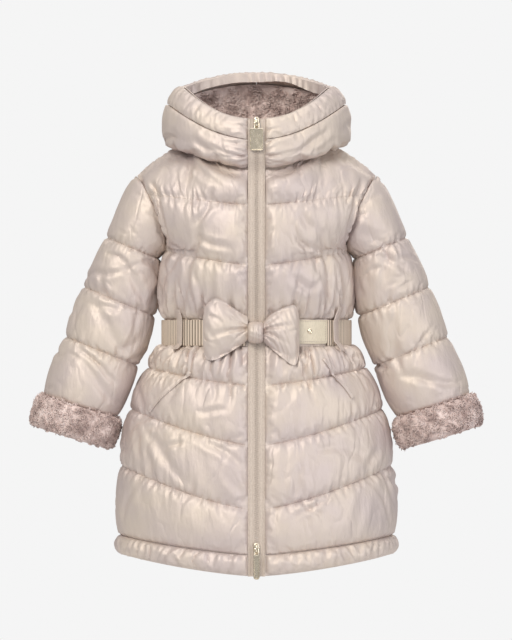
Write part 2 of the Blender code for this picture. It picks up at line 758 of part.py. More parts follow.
def build_hood_facing():
    """The strip of shell cloth inside the rim, gathered by an elastic."""
    start = hood_start(4.0) + 0.02

    def surface(u, v):
        rim = hood_point(mix(start, 2 * math.pi - start, u), 4.0)
        inward = Vector((-rim.x, NECK_SIDE_Y - rim.y, 0)).normalized()
        return rim + inward * (4.1 + 0.8 * v) + Vector((0, 0, mix(-1.0, -FACING_DROP, v)))

    add_shell("hood_facing", surface, lambda u, v: 0.0, steps(0, 1, 56), [0.0, 1.0], "shell",
              Vector((0, NECK_SIDE_Y, 90)), inner_every=(2, 1))


LINING_START = math.radians(9)


def lining_surface(u, v):
    """The fur lining lies inside the hood, from the facing down to the neck."""
    level = mix(3.36, 1.7, v)
    angle = mix(LINING_START, 2 * math.pi - LINING_START, u)
    point = hood_point(angle, level)
    inward = Vector((-point.x, NECK_SIDE_Y - point.y, 0)).normalized()
    return point + inward * 8.3 + Vector((0, 0, 2.5 * v * v))


def build_hood_lining():
    """Fur lining of the hood, open at the zip in front: its curls stand on the inner side."""
    def pile(u, v):
        edge = edge_fade(u, width=0.07) * min(1.0, 4 * v, 4 * (1 - v)) if 0 < v < 1 else 0.0
        return SEAM_OUT + edge * (5.0 + 1.2 * fur_lump(u, v, 44, 7, 3))

    us = steps(0, 1, 44)
    far_inside = Vector((0, NECK_SIDE_Y, 60))
    add_shell("hood_lining", lining_surface, pile, us, steps(0, 1, 6), "fur", far_inside,
              inner_every=(2, 3), flip=True)


# Zip

def centre_path():
    """The front edges' line from the hem to the hood's rim, smoothed, as (y, z)."""
    line = [ring_point(HEM, 0, v) for v in (1.0, 0.5, 0.0)]
    line += [ring_point(SKIRT, 0, v) for v in steps(4, 0, 28)[1:]]
    line += [ring_point(WAIST, 0, v) for v in (1.0, 0.5, 0.0)]
    line += [bodice_point(0, v, False) for v in steps(0, 3, 20)[1:]]
    line += [hood_point(0, v) for v in (0.6, 1.0, 1.6, 2.2, 2.6, 3.0, 3.4, 3.7, 4.0)]
    line = [Vector((0, p.y, p.z)) for p in line]
    for _ in range(3):
        middle = [(a + b * 2 + c) / 4 for a, b, c in zip(line, line[1:], line[2:])]
        line = [line[0], *middle, line[-1]]
    return line


def path_depth(line, z):
    """The depth of the front line at a height."""
    for a, b in zip(line, line[1:]):
        if a.z <= z <= b.z:
            return mix(a.y, b.y, (z - a.z) / (b.z - a.z))
    return line[-1].y if z > line[-1].z else line[0].y


def add_swept(name, line, section, kind):
    """A bar along the front line: section is a closed loop of (x, height over the line)."""
    points, faces = [], []
    count = len(section)
    for k, p in enumerate(line):
        along = line[min(k + 1, len(line) - 1)] - line[max(k - 1, 0)]
        out = Vector((0, -along.z, along.y)).normalized()
        for x, height in section:
            points.append(Vector((x, p.y, p.z)) + out * height)
    for k in range(len(line) - 1):
        for j in range(count):
            a, b = k * count + j, k * count + (j + 1) % count
            faces.append((a, b, b + count, a + count))
    faces.append(tuple(range(count)))
    faces.append(tuple(range((len(line) - 1) * count, len(line) * count)))
    return add_object(name, points, faces, kind)


def add_holed(name, outer, inner, centre, kind, origin):
    """A solid with one hole through it: both loops are lists of ((a, b) place, half width).

    The loops lie in a plane and the half widths stand across it. centre(a, b, w) makes a point.
    """
    points, faces = [], []
    count = len(outer)
    for loop in (outer, inner):
        for sign in (1, -1):
            for a, b, w in loop:
                points.append(centre(a, b, sign * w))
    out_a, out_b, in_a, in_b = (range(k * count, (k + 1) * count) for k in range(4))
    for j in range(count):
        n = (j + 1) % count
        faces.append((out_a[j], out_a[n], out_b[n], out_b[j]))
        faces.append((in_a[j], in_b[j], in_b[n], in_a[n]))
        faces.append((out_a[j], in_a[j], in_a[n], out_a[n]))
        faces.append((out_b[j], out_b[n], in_b[n], in_b[j]))
    return add_object(name, points, faces, kind, origin)


CHAIN_HIGH = 2.2        # the teeth stand this far over the middle of the tape
PIVOT_OUT = 4.2         # the pull's pin in front of the slider's back face

# Sliders with their pulls: pin height, slider half width, bridge half width, and the pull's
# neck half width, plate half width and the height of its lower end below the pin
SLIDERS = (
    dict(name="top", z=48.5, half=4.0, bridge=1.5, neck=4.1, plate=9.2, drop=37.5),
    dict(name="bottom", z=-521.0, half=4.0, bridge=1.2, neck=3.6, plate=4.2, drop=41.0),
)

# A slider seen from the side: how far out, how high, and whether it is the wide body
SLIDER_OUTER = ((0, -7.5, 1), (0, 0, 1), (0, 7.5, 1), (2.3, 7.5, 1), (2.5, 5.0, 0), (6.0, 3.8, 0),
                (7.2, 0, 0), (6.0, -3.8, 0), (2.5, -5.0, 0), (2.3, -7.5, 1))
SLIDER_HOLE = ((2.6, -2.4), (2.5, 0), (2.6, 2.4), (3.0, 2.8), (3.6, 2.9), (5.2, 2.4),
               (5.9, 0), (5.2, -2.4), (3.6, -2.9), (3.0, -2.8))


def pull_loops(row):
    """The pull's outline and the slot under its pin bar, as matching loops."""
    neck, plate, drop = row["neck"], row["plate"], row["drop"]
    slot = row["bridge"] + 0.8
    thick = 0.8
    outer = ((-neck + 0.8, 0.9), (0, 0.9), (neck - 0.8, 0.9), (neck, 0.2), (neck, -7.0),
             (plate - 0.8, -9.0), (plate, -10.0), (plate, -drop + 1.2), (plate - 1.2, -drop),
             (-plate + 1.2, -drop), (-plate, -drop + 1.2), (-plate, -10.0),
             (-plate + 0.8, -9.0), (-neck, -7.0), (-neck, 0.2))
    hole = ((-slot, -0.9), (0, -0.9), (slot, -0.9), (slot, -2.2), (slot, -5.0), (slot, -6.2),
            (slot * 0.8, -6.8), (slot * 0.5, -7.1), (slot * 0.2, -7.2), (-slot * 0.2, -7.2),
            (-slot * 0.5, -7.1), (-slot * 0.8, -6.8), (-slot, -6.2), (-slot, -5.0), (-slot, -2.2))
    return [(*p, thick) for p in outer], [(*p, thick) for p in hole]


def build_zip():
    line = centre_path()
    edge = ZIP_HALF - 0.0
    inner = CHAIN_HALF + SEAM_GAP
    half = TAPE_THICK / 2
    for side, name in ((1, "zip_tape_left"), (-1, "zip_tape_right")):
        add_swept(name, line, [(side * inner, -half), (side * edge, -half), (side * edge, half),
                               (side * inner, half)], "tape")
    add_swept("zip_chain", line[1:], [(-CHAIN_HALF, -1.2), (CHAIN_HALF, -1.2), (CHAIN_HALF, 1.2),
                                      (1.6, CHAIN_HIGH), (-1.6, CHAIN_HIGH), (-CHAIN_HALF, 1.2)], "metal")
    for row in SLIDERS:
        near = [path_depth(line, row["z"] + dz) for dz in (-8, -4, 0, 4, 8)]
        back = min(near) - CHAIN_HIGH - SEAM_GAP - 0.2
        pin = Vector((0, back - PIVOT_OUT, row["z"]))
        body = [(a, b, row["half"] if wide else row["bridge"]) for a, b, wide in SLIDER_OUTER]
        hole = [(a, b, row["bridge"]) for a, b in SLIDER_HOLE]
        add_holed(f"zip_slider_{row['name']}", body, hole,
                  lambda a, b, w: Vector((w, back - a, row["z"] + b)), "metal", (0, 0, 0))
        outline, slot = pull_loops(row)
        add_holed(f"zip_pull_{row['name']}", outline, slot,
                  lambda a, b, w: Vector((a, pin.y + w, row["z"] + b)), "metal", pin)


# Belt

BELT_MIDDLE = SEAM_OUT + SEAM_GAP + 0.3 + 1.5
BELT_TOP, BELT_BOTTOM = -217.5, -249.0
TAB_BOTTOM = -245.5


def belt_surface(angle, z):
    point = ring_point(WAIST, angle, (z + 216) / -34.5)
    wide = WAIST[0]["wide"]
    deep = 87.0 if math.cos(angle) > 0 else 77.5
    out = Vector((point.x / wide**2, point.y / deep**2, 0)).normalized()
    return point + out * BELT_MIDDLE


def build_belt():
    """The elastic from behind the bow all round to the tab, and the tab with its stud."""
    inside = Vector((0, 0, -233))
    start, end = math.asin(94.5 / 127), 2 * math.pi - math.radians(6.5)
    add_shell("belt", lambda u, v: belt_surface(mix(start, end, u), mix(BELT_TOP, BELT_BOTTOM, v)),
              lambda u, v: 0.0, steps(0, 1, 52), [0.0, 1.0], "elastic", inside, inner_every=(1, 1))
    tab_start = math.radians(6.5)
    tab_end = start - 0.3 / 127
    add_shell("belt_tab", lambda u, v: belt_surface(mix(tab_start, tab_end, u), mix(BELT_TOP, TAB_BOTTOM, v)),
              lambda u, v: 0.0, steps(0, 1, 9), [0.0, 1.0], "strap", inside, inner_every=(1, 1))
    stud = belt_surface(math.asin(71 / 127), -231)
    deep = Vector((stud.x / 124**2, stud.y / 87**2, 0)).normalized()
    side = Vector((-deep.y, deep.x, 0))
    rings = ((3.6, 0.0), (3.6, 0.8), (2.4, 1.5), (0.9, 1.8))
    points, faces = [], []
    count = 14
    for radius, height in rings:
        for k in range(count):
            turn = 2 * math.pi * k / count
            points.append(stud + deep * (SEAM_OUT + SEAM_GAP + height)
                          + side * radius * math.cos(turn) + Vector((0, 0, radius * math.sin(turn))))
    for r in range(len(rings) - 1):
        for k in range(count):
            a, b = r * count + k, r * count + (k + 1) % count
            faces.append((a, b, b + count, a + count))
    faces.append(tuple(range(count)))
    faces.append(tuple(range(3 * count, 4 * count)))
    add_object("belt_stud", points, faces, "metal")


def covering(*names):
    """What lies under a piece, to be asked where its outside is."""
    points, faces = [], []
    for name in names:
        obj = bpy.data.objects[name]
        first = len(points)
        points += [obj.location / MM + v.co / MM for v in obj.data.vertices]
        faces += [[first + i for i in p.vertices] for p in obj.data.polygons]
    return BVHTree.FromPolygons(points, faces)


def reach(tree, flat, z):
    """How far out the covered pieces come on a level ray towards the coat's middle."""
    start = Vector((flat.x * 400, flat.y * 400, z))
    hit = tree.ray_cast(start, Vector((-flat.x, -flat.y, 0)))[0]
    return Vector((hit.x, hit.y, 0)).length if hit else 0.0


# Belt loops: middle (mm across), upper and lower end
LOOPS = (
    dict(name="belt_loop_right", x=-101, top=-202, bottom=-255),
    dict(name="belt_loop_left", x=103.5, top=-198, bottom=-257),
)
LOOP_HALF, LOOP_THICK = 6.3, 1.8


def build_belt_loops():
    tree = covering("front_bodice_left", "front_bodice_right", "front_skirt_left",
                    "front_skirt_right", "waistband", "belt", "belt_tab")
    for row in LOOPS:
        angle = math.asin(row["x"] / 128)
        place = belt_surface(angle, -233)
        flat = Vector((place.x, place.y, 0)).normalized()
        across = Vector((-flat.y, flat.x, 0))
        heights = steps(row["top"], row["bottom"], 12)
        radii = []
        for z in heights:
            found = []
            for dz in (-3, 0, 3):
                for offset in (-LOOP_HALF, -3, 0, 3, LOOP_HALF):
                    start = flat * 400 + across * offset + Vector((0, 0, z + dz))
                    hit = tree.ray_cast(start, -flat)[0]
                    if hit:
                        found.append(hit.dot(flat))
            radii.append(max(found))
        points, faces = [], []
        for z, radius in zip(heights, radii):
            for offset, out in ((-LOOP_HALF, 0), (LOOP_HALF, 0), (LOOP_HALF, 1), (-LOOP_HALF, 1)):
                distance = radius + SEAM_GAP + 0.2 + out * LOOP_THICK
                points.append(flat * distance + across * offset + Vector((0, 0, z)))
        for k in range(len(heights) - 1):
            for j in range(4):
                a, b = 4 * k + j, 4 * k + (j + 1) % 4
                faces.append((a, b, b + 4, a + 4))
        faces.append((0, 1, 2, 3))
        faces.append(tuple(range(len(points) - 4, len(points))))
        add_object(row["name"], points, faces, "shell")


# Bow loops from the knot outwards: place, upper and lower edge, and how far they stand out
BOW_RIGHT = (
    dict(x=-11.8, top=-212, low=-243, puff=9),
    dict(x=-20, top=-207, low=-249, puff=13),
    dict(x=-32, top=-199, low=-257, puff=17),
    dict(x=-44, top=-191, low=-264, puff=18),
    dict(x=-54, top=-187, low=-269, puff=17),
    dict(x=-63, top=-191, low=-270, puff=14),
    dict(x=-69, top=-199, low=-265, puff=9),
    dict(x=-72, top=-212, low=-252, puff=4),
)
BOW_LEFT = (
    dict(x=9.3, top=-219, low=-245, puff=9),
    dict(x=16, top=-211, low=-251, puff=13),
    dict(x=25, top=-205, low=-259, puff=17),
    dict(x=35, top=-200, low=-267, puff=18),
    dict(x=44, top=-197, low=-274, puff=17),
    dict(x=51, top=-196, low=-276, puff=14),
    dict(x=55, top=-201, low=-271, puff=9),
    dict(x=57.5, top=-213, low=-256, puff=4),
)
BOW_KNOT = (
    dict(x=-11.4, top=-221, low=-244, puff=12),
    dict(x=-9, top=-219, low=-246.5, puff=17),
    dict(x=-1, top=-218, low=-247.5, puff=21),
    dict(x=6.5, top=-219, low=-246.5, puff=17),
    dict(x=8.9, top=-221, low=-244, puff=12),
)
BOW_BASE = -93.0        # depth of the bow's middle, where its loops leave the knot
BOW_THIN = 2.6


def build_bow():
    tree = covering("front_bodice_left", "front_bodice_right", "front_skirt_left",
                    "front_skirt_right", "waistband", "belt", "belt_tab", "zip_chain",
                    "zip_tape_left", "zip_tape_right")
    shapes = (("bow_loop_right", BOW_RIGHT), ("bow_loop_left", BOW_LEFT), ("bow_knot", BOW_KNOT))
    for name, table in shapes:
        rows = steps(0, 1, 9)
        points, faces = [], []
        for front in (True, False):
            for column in table:
                for t in rows:
                    x, z = column["x"], mix(column["low"], column["top"], t)
                    found = []
                    for dx in (-5, -2.5, 0, 2.5, 5):
                        for dz in (-5, -2.5, 0, 2.5, 5):
                            hit = tree.ray_cast(Vector((x + dx, -400, z + dz)), Vector((0, 1, 0)))[0]
                            if hit:
                                found.append(hit.y)
                    back = min(found) - SEAM_GAP - 0.7
                    bulge = column["puff"] * max(0.0, 1 - (2 * t - 1) ** 2) ** 0.5
                    y = min(back - BOW_THIN, BOW_BASE - bulge) if front else back
                    points.append(Vector((x, y, z)))
        wide, high = len(table), len(rows)

        def at(face, c, r):
            return face * wide * high + c * high + r

        for face in (0, 1):
            for c in range(wide - 1):
                for r in range(high - 1):
                    faces.append((at(face, c, r), at(face, c + 1, r), at(face, c + 1, r + 1),
                                  at(face, c, r + 1)))
        for c in range(wide - 1):
            for r in (0, high - 1):
                faces.append((at(0, c, r), at(0, c + 1, r), at(1, c + 1, r), at(1, c, r)))
        for r in range(high - 1):
            for c in (0, wide - 1):
                faces.append((at(0, c, r), at(0, c, r + 1), at(1, c, r + 1), at(1, c, r)))
        add_object(name, points, faces, "shell")


# Pocket welts: upper and lower end on the front, (x, z)
POCKETS = (
    dict(name="pocket_welt_right", x0=-101, z0=-286, x1=-147, z1=-339),
    dict(name="pocket_welt_left", x0=104, z0=-268, x1=133, z1=-320),
)
WELT_HALF, WELT_THICK = 2.5, 2.2


def build_pockets():
    tree = covering("front_skirt_left", "front_skirt_right")
    for row in POCKETS:
        run = Vector((row["x1"] - row["x0"], row["z1"] - row["z0"])).normalized()
        side_step = Vector((-run.y, run.x)) * WELT_HALF
        points, faces = [], []
        stops = steps(0, 1, 14)
        for t in stops:
            x, z = mix(row["x0"], row["x1"], t), mix(row["z0"], row["z1"], t)
            z += 4 * math.sin(math.pi * t)
            section = []
            for sign in (-1, 1):
                px, pz = x + sign * side_step.x, z + sign * side_step.y
                # the level ray that passes this place on the photo's side of the coat
                flat = Vector((px, -(120 * math.sqrt(max(0.05, 1 - (px / 175) ** 2))), 0)).normalized()
                out = max(reach(tree, flat, pz + dz) for dz in (-3, 0, 3))
                section.append((flat, out + SEAM_GAP + 0.3, pz))
            for (flat, out, pz), high in ((section[0], 0), (section[1], 0), (section[1], 1), (section[0], 1)):
                points.append(flat * (out + high * WELT_THICK) + Vector((0, 0, pz)))
        for k in range(len(stops) - 1):
            for j in range(4):
                a, b = 4 * k + j, 4 * k + (j + 1) % 4
                faces.append((a, b, b + 4, a + 4))
        faces.append((0, 1, 2, 3))
        faces.append(tuple(range(len(points) - 4, len(points))))
        add_object(row["name"], points, faces, "shell")


def main():
    clear_scene()
    build_skirt()
    build_hem()
    build_waistband()
    build_bodice()
    build_sleeves()
    build_cuffs()
    build_hood()
    build_zip()
    build_belt()
    build_belt_loops()
    build_bow()
    build_pockets()


main()
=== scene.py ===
"""The belted puffer coat as it looks: quilted and puckered cloth, fur, zip, belt and bow on the solid frame.

Millimetres in this file, turned to metres where a mesh is made. The front faces -Y.
"""

import json
import math
import random

import bmesh
import bpy
import numpy as np
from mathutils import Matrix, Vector
from mathutils.bvhtree import BVHTree

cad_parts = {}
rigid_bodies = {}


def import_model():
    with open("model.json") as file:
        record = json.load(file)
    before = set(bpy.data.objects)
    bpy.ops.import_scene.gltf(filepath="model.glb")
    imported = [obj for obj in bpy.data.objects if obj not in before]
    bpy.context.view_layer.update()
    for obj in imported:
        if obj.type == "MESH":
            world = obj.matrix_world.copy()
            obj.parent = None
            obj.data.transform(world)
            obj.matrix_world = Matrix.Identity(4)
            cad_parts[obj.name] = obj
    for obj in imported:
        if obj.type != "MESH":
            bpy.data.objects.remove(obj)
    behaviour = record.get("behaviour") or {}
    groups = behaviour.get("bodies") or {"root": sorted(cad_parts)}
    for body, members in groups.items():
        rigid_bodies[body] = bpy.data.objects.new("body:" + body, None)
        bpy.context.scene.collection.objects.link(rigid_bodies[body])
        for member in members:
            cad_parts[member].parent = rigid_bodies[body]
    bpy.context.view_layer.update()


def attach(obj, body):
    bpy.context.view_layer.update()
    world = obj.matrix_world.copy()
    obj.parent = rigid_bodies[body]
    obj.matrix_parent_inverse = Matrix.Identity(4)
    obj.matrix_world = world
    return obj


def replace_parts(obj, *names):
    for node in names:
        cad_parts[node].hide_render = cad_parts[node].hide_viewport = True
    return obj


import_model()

MM = 0.001
# Cloth and seams
SEAM_OUT = 1.5          # outer face of a seam from the middle of the wall
SEAM_IN = -1.5          # the plain inner face from the middle of the wall
SEAM_GAP = 0.3          # between two pieces at a seam
BODY_PUFF = 8.0         # height of the padding between two quilting lines
SLEEVE_PUFF = 6.5
HOOD_PUFF = 6.0
HEM_PUFF = 8.0
FUR_PILE = 10.0
# Zip
ZIP_HALF = 11.5         # half the width between the two front edges
CHAIN_HALF = 2.9
TAPE_THICK = 1.8
# Skirt rings, top to bottom: heights at centre front, side and centre back, half width, depths
SKIRT = (
    dict(name="waist", front=-251.5, side=-251.5, back=-251.5, wide=124, fore=88, aft=78),
    dict(name="quilt_3", front=-305, side=-283, back=-292, wide=143, fore=99, aft=90),
    dict(name="quilt_4", front=-385, side=-338, back=-358, wide=166, fore=110, aft=103),
    dict(name="quilt_5", front=-470, side=-414, back=-440, wide=179, fore=119, aft=113),
    dict(name="hem_seam", front=-529, side=-507, back=-518, wide=184, fore=123, aft=118),
)
HEM = (
    dict(name="hem_seam", front=-530, side=-508, back=-519, wide=184, fore=123, aft=118),
    dict(name="hem_edge", front=-558, side=-533, back=-546, wide=182, fore=121, aft=116),
)
WAIST = (
    dict(name="top", front=-216, side=-216, back=-216, wide=124, fore=86, aft=77),
    dict(name="bottom", front=-250.5, side=-250.5, back=-250.5, wide=124, fore=88, aft=78),
)
RISE_POWER = 1.4        # how a quilting line climbs from the centre to the side
# Bodice rows, bottom to top: heights, half width and depths below the armhole
BODICE = (
    dict(name="waist", front=-215, side=-215, back=-215, wide=124, fore=86, aft=77),
    dict(name="quilt_2", front=-143, side=-122, back=-128, wide=123, fore=98, aft=92),
    dict(name="quilt_1", front=-62, side=-46, back=-48, wide=146, fore=92, aft=94),
)
ARMHOLE_TOP = Vector((163, 0, -22))
ARMHOLE_LOW = Vector((121, 0, -114))
ARMHOLE_DEPTH = 47      # how far the armhole reaches to the front and back
ARMHOLE_BOW = 6         # how far its middle bends towards the neck
ARMHOLE_LOW_V = 1.10    # the row value where the side seam meets the armhole
QUILT_1_ANGLE = 62      # where the upper quilting line meets the armhole, degrees from its top
# Neck seam
NECK_WIDE = 80
NECK_FRONT_Y, NECK_SIDE_Y, NECK_BACK_Y = -80, 8, 60
NECK_FRONT_Z, NECK_SIDE_Z, NECK_BACK_Z = -15, 32, 44
NECK_POWER = 3.5
NECK_SHARE = 0.45       # share of the bodice's top edge that is neckline
# Hood rings, neck to face opening
HOOD = (
    dict(name="neck", front=-11.4, side=36.0, back=47.4, wide=80, fore=80, aft=60, power=2.7),
    dict(name="roll", front=-3, side=24, back=49, wide=113, fore=88, aft=86, power=2.0),
    dict(name="full", front=6, side=44, back=64, wide=119, fore=91, aft=106, power=2.2),
    dict(name="band_seam", front=25.5, side=76, back=98, wide=117, fore=92, aft=106, power=2.0),
    dict(name="rim", front=54, side=101, back=124, wide=101, fore=88, aft=72, power=2.2),
)
HOOD_CENTRE = math.radians(138)   # where the hood's side panel meets its centre strip
# Sleeve sections down the arm (wearer's left): centre, half width, half depth, tilt of the width
SLEEVE = (
    dict(name="quilt_1", x=168, y=1, z=-119, wide=33, deep=44, tilt=23),
    dict(name="quilt_2", x=187, y=3, z=-191, wide=46, deep=47, tilt=23),
    dict(name="quilt_3", x=211, y=1, z=-258, wide=47, deep=47, tilt=22),
    dict(name="cuff_seam", x=240, y=-6, z=-332, wide=48, deep=46, tilt=17),
)
CUFF_LENGTH = 44
CUFF_OUT = 3.2          # the fur stands this much outside the sleeve at its seam


def mix(a, b, t):
    return a + (b - a) * t


def table_value(table, key, v):
    """A column of a table at row value v, on a smooth curve through the rows."""
    last = len(table) - 1
    v = min(max(v, 0.0), last)
    k = min(int(v), last - 1)
    t = v - k
    p1, p2 = table[k][key], table[k + 1][key]
    p0 = table[k - 1][key] if k > 0 else 2 * p1 - p2
    p3 = table[k + 2][key] if k + 2 <= last else 2 * p2 - p1
    m1, m2 = (p2 - p0) / 2, (p3 - p1) / 2
    return ((2 * t**3 - 3 * t**2 + 1) * p1 + (t**3 - 2 * t**2 + t) * m1
            + (-2 * t**3 + 3 * t**2) * p2 + (t**3 - t**2) * m2)


def ring_point(table, angle, v, power=RISE_POWER):
    """A point of a ring: angle 0 is centre front, 90 degrees the side, 180 centre back."""
    wide, fore, aft = (table_value(table, key, v) for key in ("wide", "fore", "aft"))
    front, side, back = (table_value(table, key, v) for key in ("front", "side", "back"))
    share = abs(math.sin(angle)) ** power
    facing = math.cos(angle)
    depth = -fore * facing if facing > 0 else -aft * facing
    centre = front if facing > 0 else back
    return Vector((wide * math.sin(angle), depth, mix(centre, side, share)))


def channel_puff(v, height):
    """The padding's height between two quilting lines, which are shallow dips at whole row values."""
    t = v - math.floor(v)
    bulge = max(0.0, 1 - (2 * t - 1) ** 2) ** 0.8
    line = round(v)
    if line in (0, 4):
        return height * bulge
    dip = 0.20 * math.exp(-(((v - line) / 0.035) ** 2))
    return height * (0.45 + 0.55 * bulge - dip)


def edge_fade(u, ends=(True, True), width=0.07):
    """0 at a panel's seamed edges, rising to 1 a little way in."""
    near = min(u if ends[0] else 1.0, 1 - u if ends[1] else 1.0)
    return min(1.0, max(0.0, near / width)) ** 0.5


def ease(t):
    t = min(1.0, max(0.0, t))
    return t * t * (3 - 2 * t)


def soft_trough(distance, half_width):
    """1 in the middle of a crease, 0 from its half width out."""
    r = min(1.0, abs(distance) / half_width)
    return (1 - r * r) ** 2


def gathers(u, from_seam, count, depth, reach, phase=0.0):
    """Uneven gathers that run out from an elastic seam and die away over reach."""
    warped = u + 0.045 * math.sin(9 * u + phase)
    wave = math.cos(2 * math.pi * count * warped + phase)
    uneven = 0.75 + 0.25 * math.sin(5 * u + 2 * phase)
    return depth * wave * uneven * math.exp(-((from_seam / reach) ** 2))


def steps(first, last, count):
    return [mix(first, last, k / count) for k in range(count + 1)]


def skirt_surface(side):
    def surface(u, v):
        wide = table_value(SKIRT, "wide", v)
        start = math.asin((ZIP_HALF + SEAM_GAP) / wide)
        end = math.pi / 2 - SEAM_GAP / 2 / wide
        point = ring_point(SKIRT, mix(start, end, u), v)
        return Vector((side * point.x, point.y, point.z))
    return surface


def skirt_back_surface(u, v):
    trim = SEAM_GAP / 2 / table_value(SKIRT, "wide", v)
    return ring_point(SKIRT, mix(math.pi / 2 + trim, 1.5 * math.pi - trim, u), v)


# Larger creases of each skirt front: (u, v) ends, half width and depth
SKIRT_CREASES = (
    dict(side=-1, u0=0.80, v0=0.25, u1=0.95, v1=1.6, half=0.060, depth=3.5),
    dict(side=-1, u0=0.55, v0=0.05, u1=0.70, v1=0.9, half=0.055, depth=3.0),
    dict(side=-1, u0=0.60, v0=2.20, u1=0.30, v1=2.9, half=0.070, depth=3.0),
    dict(side=1, u0=0.62, v0=0.10, u1=0.80, v1=1.3, half=0.060, depth=4.0),
    dict(side=1, u0=0.35, v0=2.15, u1=0.62, v1=2.8, half=0.070, depth=3.0),
)


def crease_relief(table, side, u, v):
    total = 0.0
    for row in table:
        if row["side"] != side:
            continue
        du, dv = row["u1"] - row["u0"], row["v1"] - row["v0"]
        t = ((u - row["u0"]) * du + (v - row["v0"]) * dv) / (du * du + dv * dv)
        t = min(1.0, max(0.0, t))
        off = math.hypot(u - row["u0"] - t * du, (v - row["v0"] - t * dv) * 0.4)
        total -= row["depth"] * soft_trough(off, row["half"]) * (1 - (2 * t - 1) ** 4)
    return total


def skirt_relief(side):
    def relief(u, v):
        fade = edge_fade(u)
        gather = gathers(u, v, 5, 3.0, 0.75, phase=1.1 * side)
        creases = crease_relief(SKIRT_CREASES, side, u, v)
        low = channel_puff(v, BODY_PUFF) * fade
        return max(0.0, low + (gather + creases) * fade * min(1.0, low / 3))
    return relief


def skirt_back_relief(u, v):
    fade = edge_fade(u, width=0.04)
    low = channel_puff(v, BODY_PUFF) * fade
    return max(0.0, low + gathers(u, v, 10, 3.0, 0.75) * fade * min(1.0, low / 3))


def armhole(angle, back):
    """The armhole seam: 0 at the shoulder tip, pi under the arm."""
    centre = (ARMHOLE_TOP + ARMHOLE_LOW) / 2
    half = (ARMHOLE_TOP - ARMHOLE_LOW) / 2
    out = ARMHOLE_DEPTH if back else -ARMHOLE_DEPTH
    return centre + half * math.cos(angle) + Vector((-ARMHOLE_BOW, out, 0)) * math.sin(angle)


def neck_point(angle):
    wide = NECK_WIDE * math.sin(angle)
    facing = math.cos(angle)
    share = abs(math.sin(angle)) ** NECK_POWER
    if facing > 0:
        y = mix(NECK_SIDE_Y, NECK_FRONT_Y, facing)
        z = mix(NECK_FRONT_Z, NECK_SIDE_Z, share)
    else:
        y = mix(NECK_SIDE_Y, NECK_BACK_Y, -facing)
        z = mix(NECK_BACK_Z, NECK_SIDE_Z, share)
    return Vector((wide, y, z))


def bodice_edge(v, back):
    """The panel's outer edge: up the side seam, then up the armhole to the shoulder tip."""
    if v <= ARMHOLE_LOW_V:
        t = v / ARMHOLE_LOW_V
        low = Vector((BODICE[0]["wide"], 0, BODICE[0]["side"]))
        swell = 4 * math.sin(math.pi * t)
        return low.lerp(ARMHOLE_LOW, t) + Vector((swell, 0, 0))
    line = math.radians(QUILT_1_ANGLE)
    if v <= 2:
        angle = mix(math.pi, line, (v - ARMHOLE_LOW_V) / (2 - ARMHOLE_LOW_V))
    else:
        angle = mix(line, 0.0, v - 2)
    return armhole(max(angle, 0.0), back)


def bodice_top(u, back, start):
    """The top edge: along the neck, then along the shoulder seam to its tip."""
    if u < NECK_SHARE:
        if back:
            return neck_point(mix(math.pi, math.pi / 2, u / NECK_SHARE))
        return neck_point(mix(start, math.pi / 2, u / NECK_SHARE))
    t = (u - NECK_SHARE) / (1 - NECK_SHARE)
    neck = neck_point(math.pi / 2)
    return neck.lerp(ARMHOLE_TOP, t) + Vector((0, 0, 5 * math.sin(math.pi * t)))


def bodice_row(u, v, back):
    centre_key = "back" if back else "front"
    depth = table_value(BODICE, "aft" if back else "fore", v)
    z = table_value(BODICE, centre_key, v)
    edge = bodice_edge(v, back)
    reach = math.radians(mix(90, 58, min(1.0, max(0.0, (v - 1) / 1.0))))
    first = 0.0 if back else math.asin((ZIP_HALF + SEAM_GAP) * math.sin(reach) / edge.x)
    turn = mix(first, reach, u)
    x = edge.x * math.sin(turn) / math.sin(reach)
    face = depth if back else -depth
    y = face + (edge.y - face) * (1 - math.cos(turn)) / (1 - math.cos(reach))
    share = min(1.0, abs(x / edge.x)) ** RISE_POWER
    return Vector((x, y, mix(z, edge.z, share)))


def bodice_point(u, v, back):
    """Half a bodice on the wearer's left: u from centre to side, v from waist (0) to top (3)."""
    if v <= 2:
        return bodice_row(u, v, back)
    t = v - 2
    low = bodice_row(u, 2.0, back)
    high = bodice_top(u, back, math.asin((ZIP_HALF + SEAM_GAP) / NECK_WIDE))
    out = Vector((0.15, 0.75 if back else -0.75, 0.65))
    swell = 10 * math.sin(math.pi * min(t, 1.0)) * math.sin(math.pi * min(1.0, 0.1 + 0.9 * u)) ** 0.6
    swell *= 1 - 0.75 * ease((t - 0.35) / 0.5)
    if u >= 1.0:
        swell = 0.0
    return low.lerp(high, t) + out * swell


EDGE_TRIM = 0.008       # keeps the side and armhole edges just clear of their seam line


def bodice_front_surface(side):
    def surface(u, v):
        point = bodice_point(mix(0.0, 1 - EDGE_TRIM, u), v, False)
        return Vector((side * point.x, point.y, point.z))
    return surface


def bodice_back_surface(u, v):
    across = (2 * u - 1) * (1 - EDGE_TRIM)
    point = bodice_point(abs(across), v, True)
    return Vector((math.copysign(point.x, across), point.y, point.z))


def neck_out(point):
    """The way the walls go at the neck seam."""
    flat = Vector((point.x, point.y - NECK_SIDE_Y, 0)).normalized()
    return (flat + Vector((0, 0, 0.8))).normalized()


def armhole_out(angle, side, back):
    """The way the walls go at the armhole seam."""
    centre = (ARMHOLE_TOP + ARMHOLE_LOW) / 2
    out = (armhole(angle, back) - centre).normalized() + Vector((0.4, 0, 0))
    return Vector((side * out.x, out.y, out.z)).normalized()


def armhole_weight(angle):
    return ease((math.pi - angle) / math.radians(60))


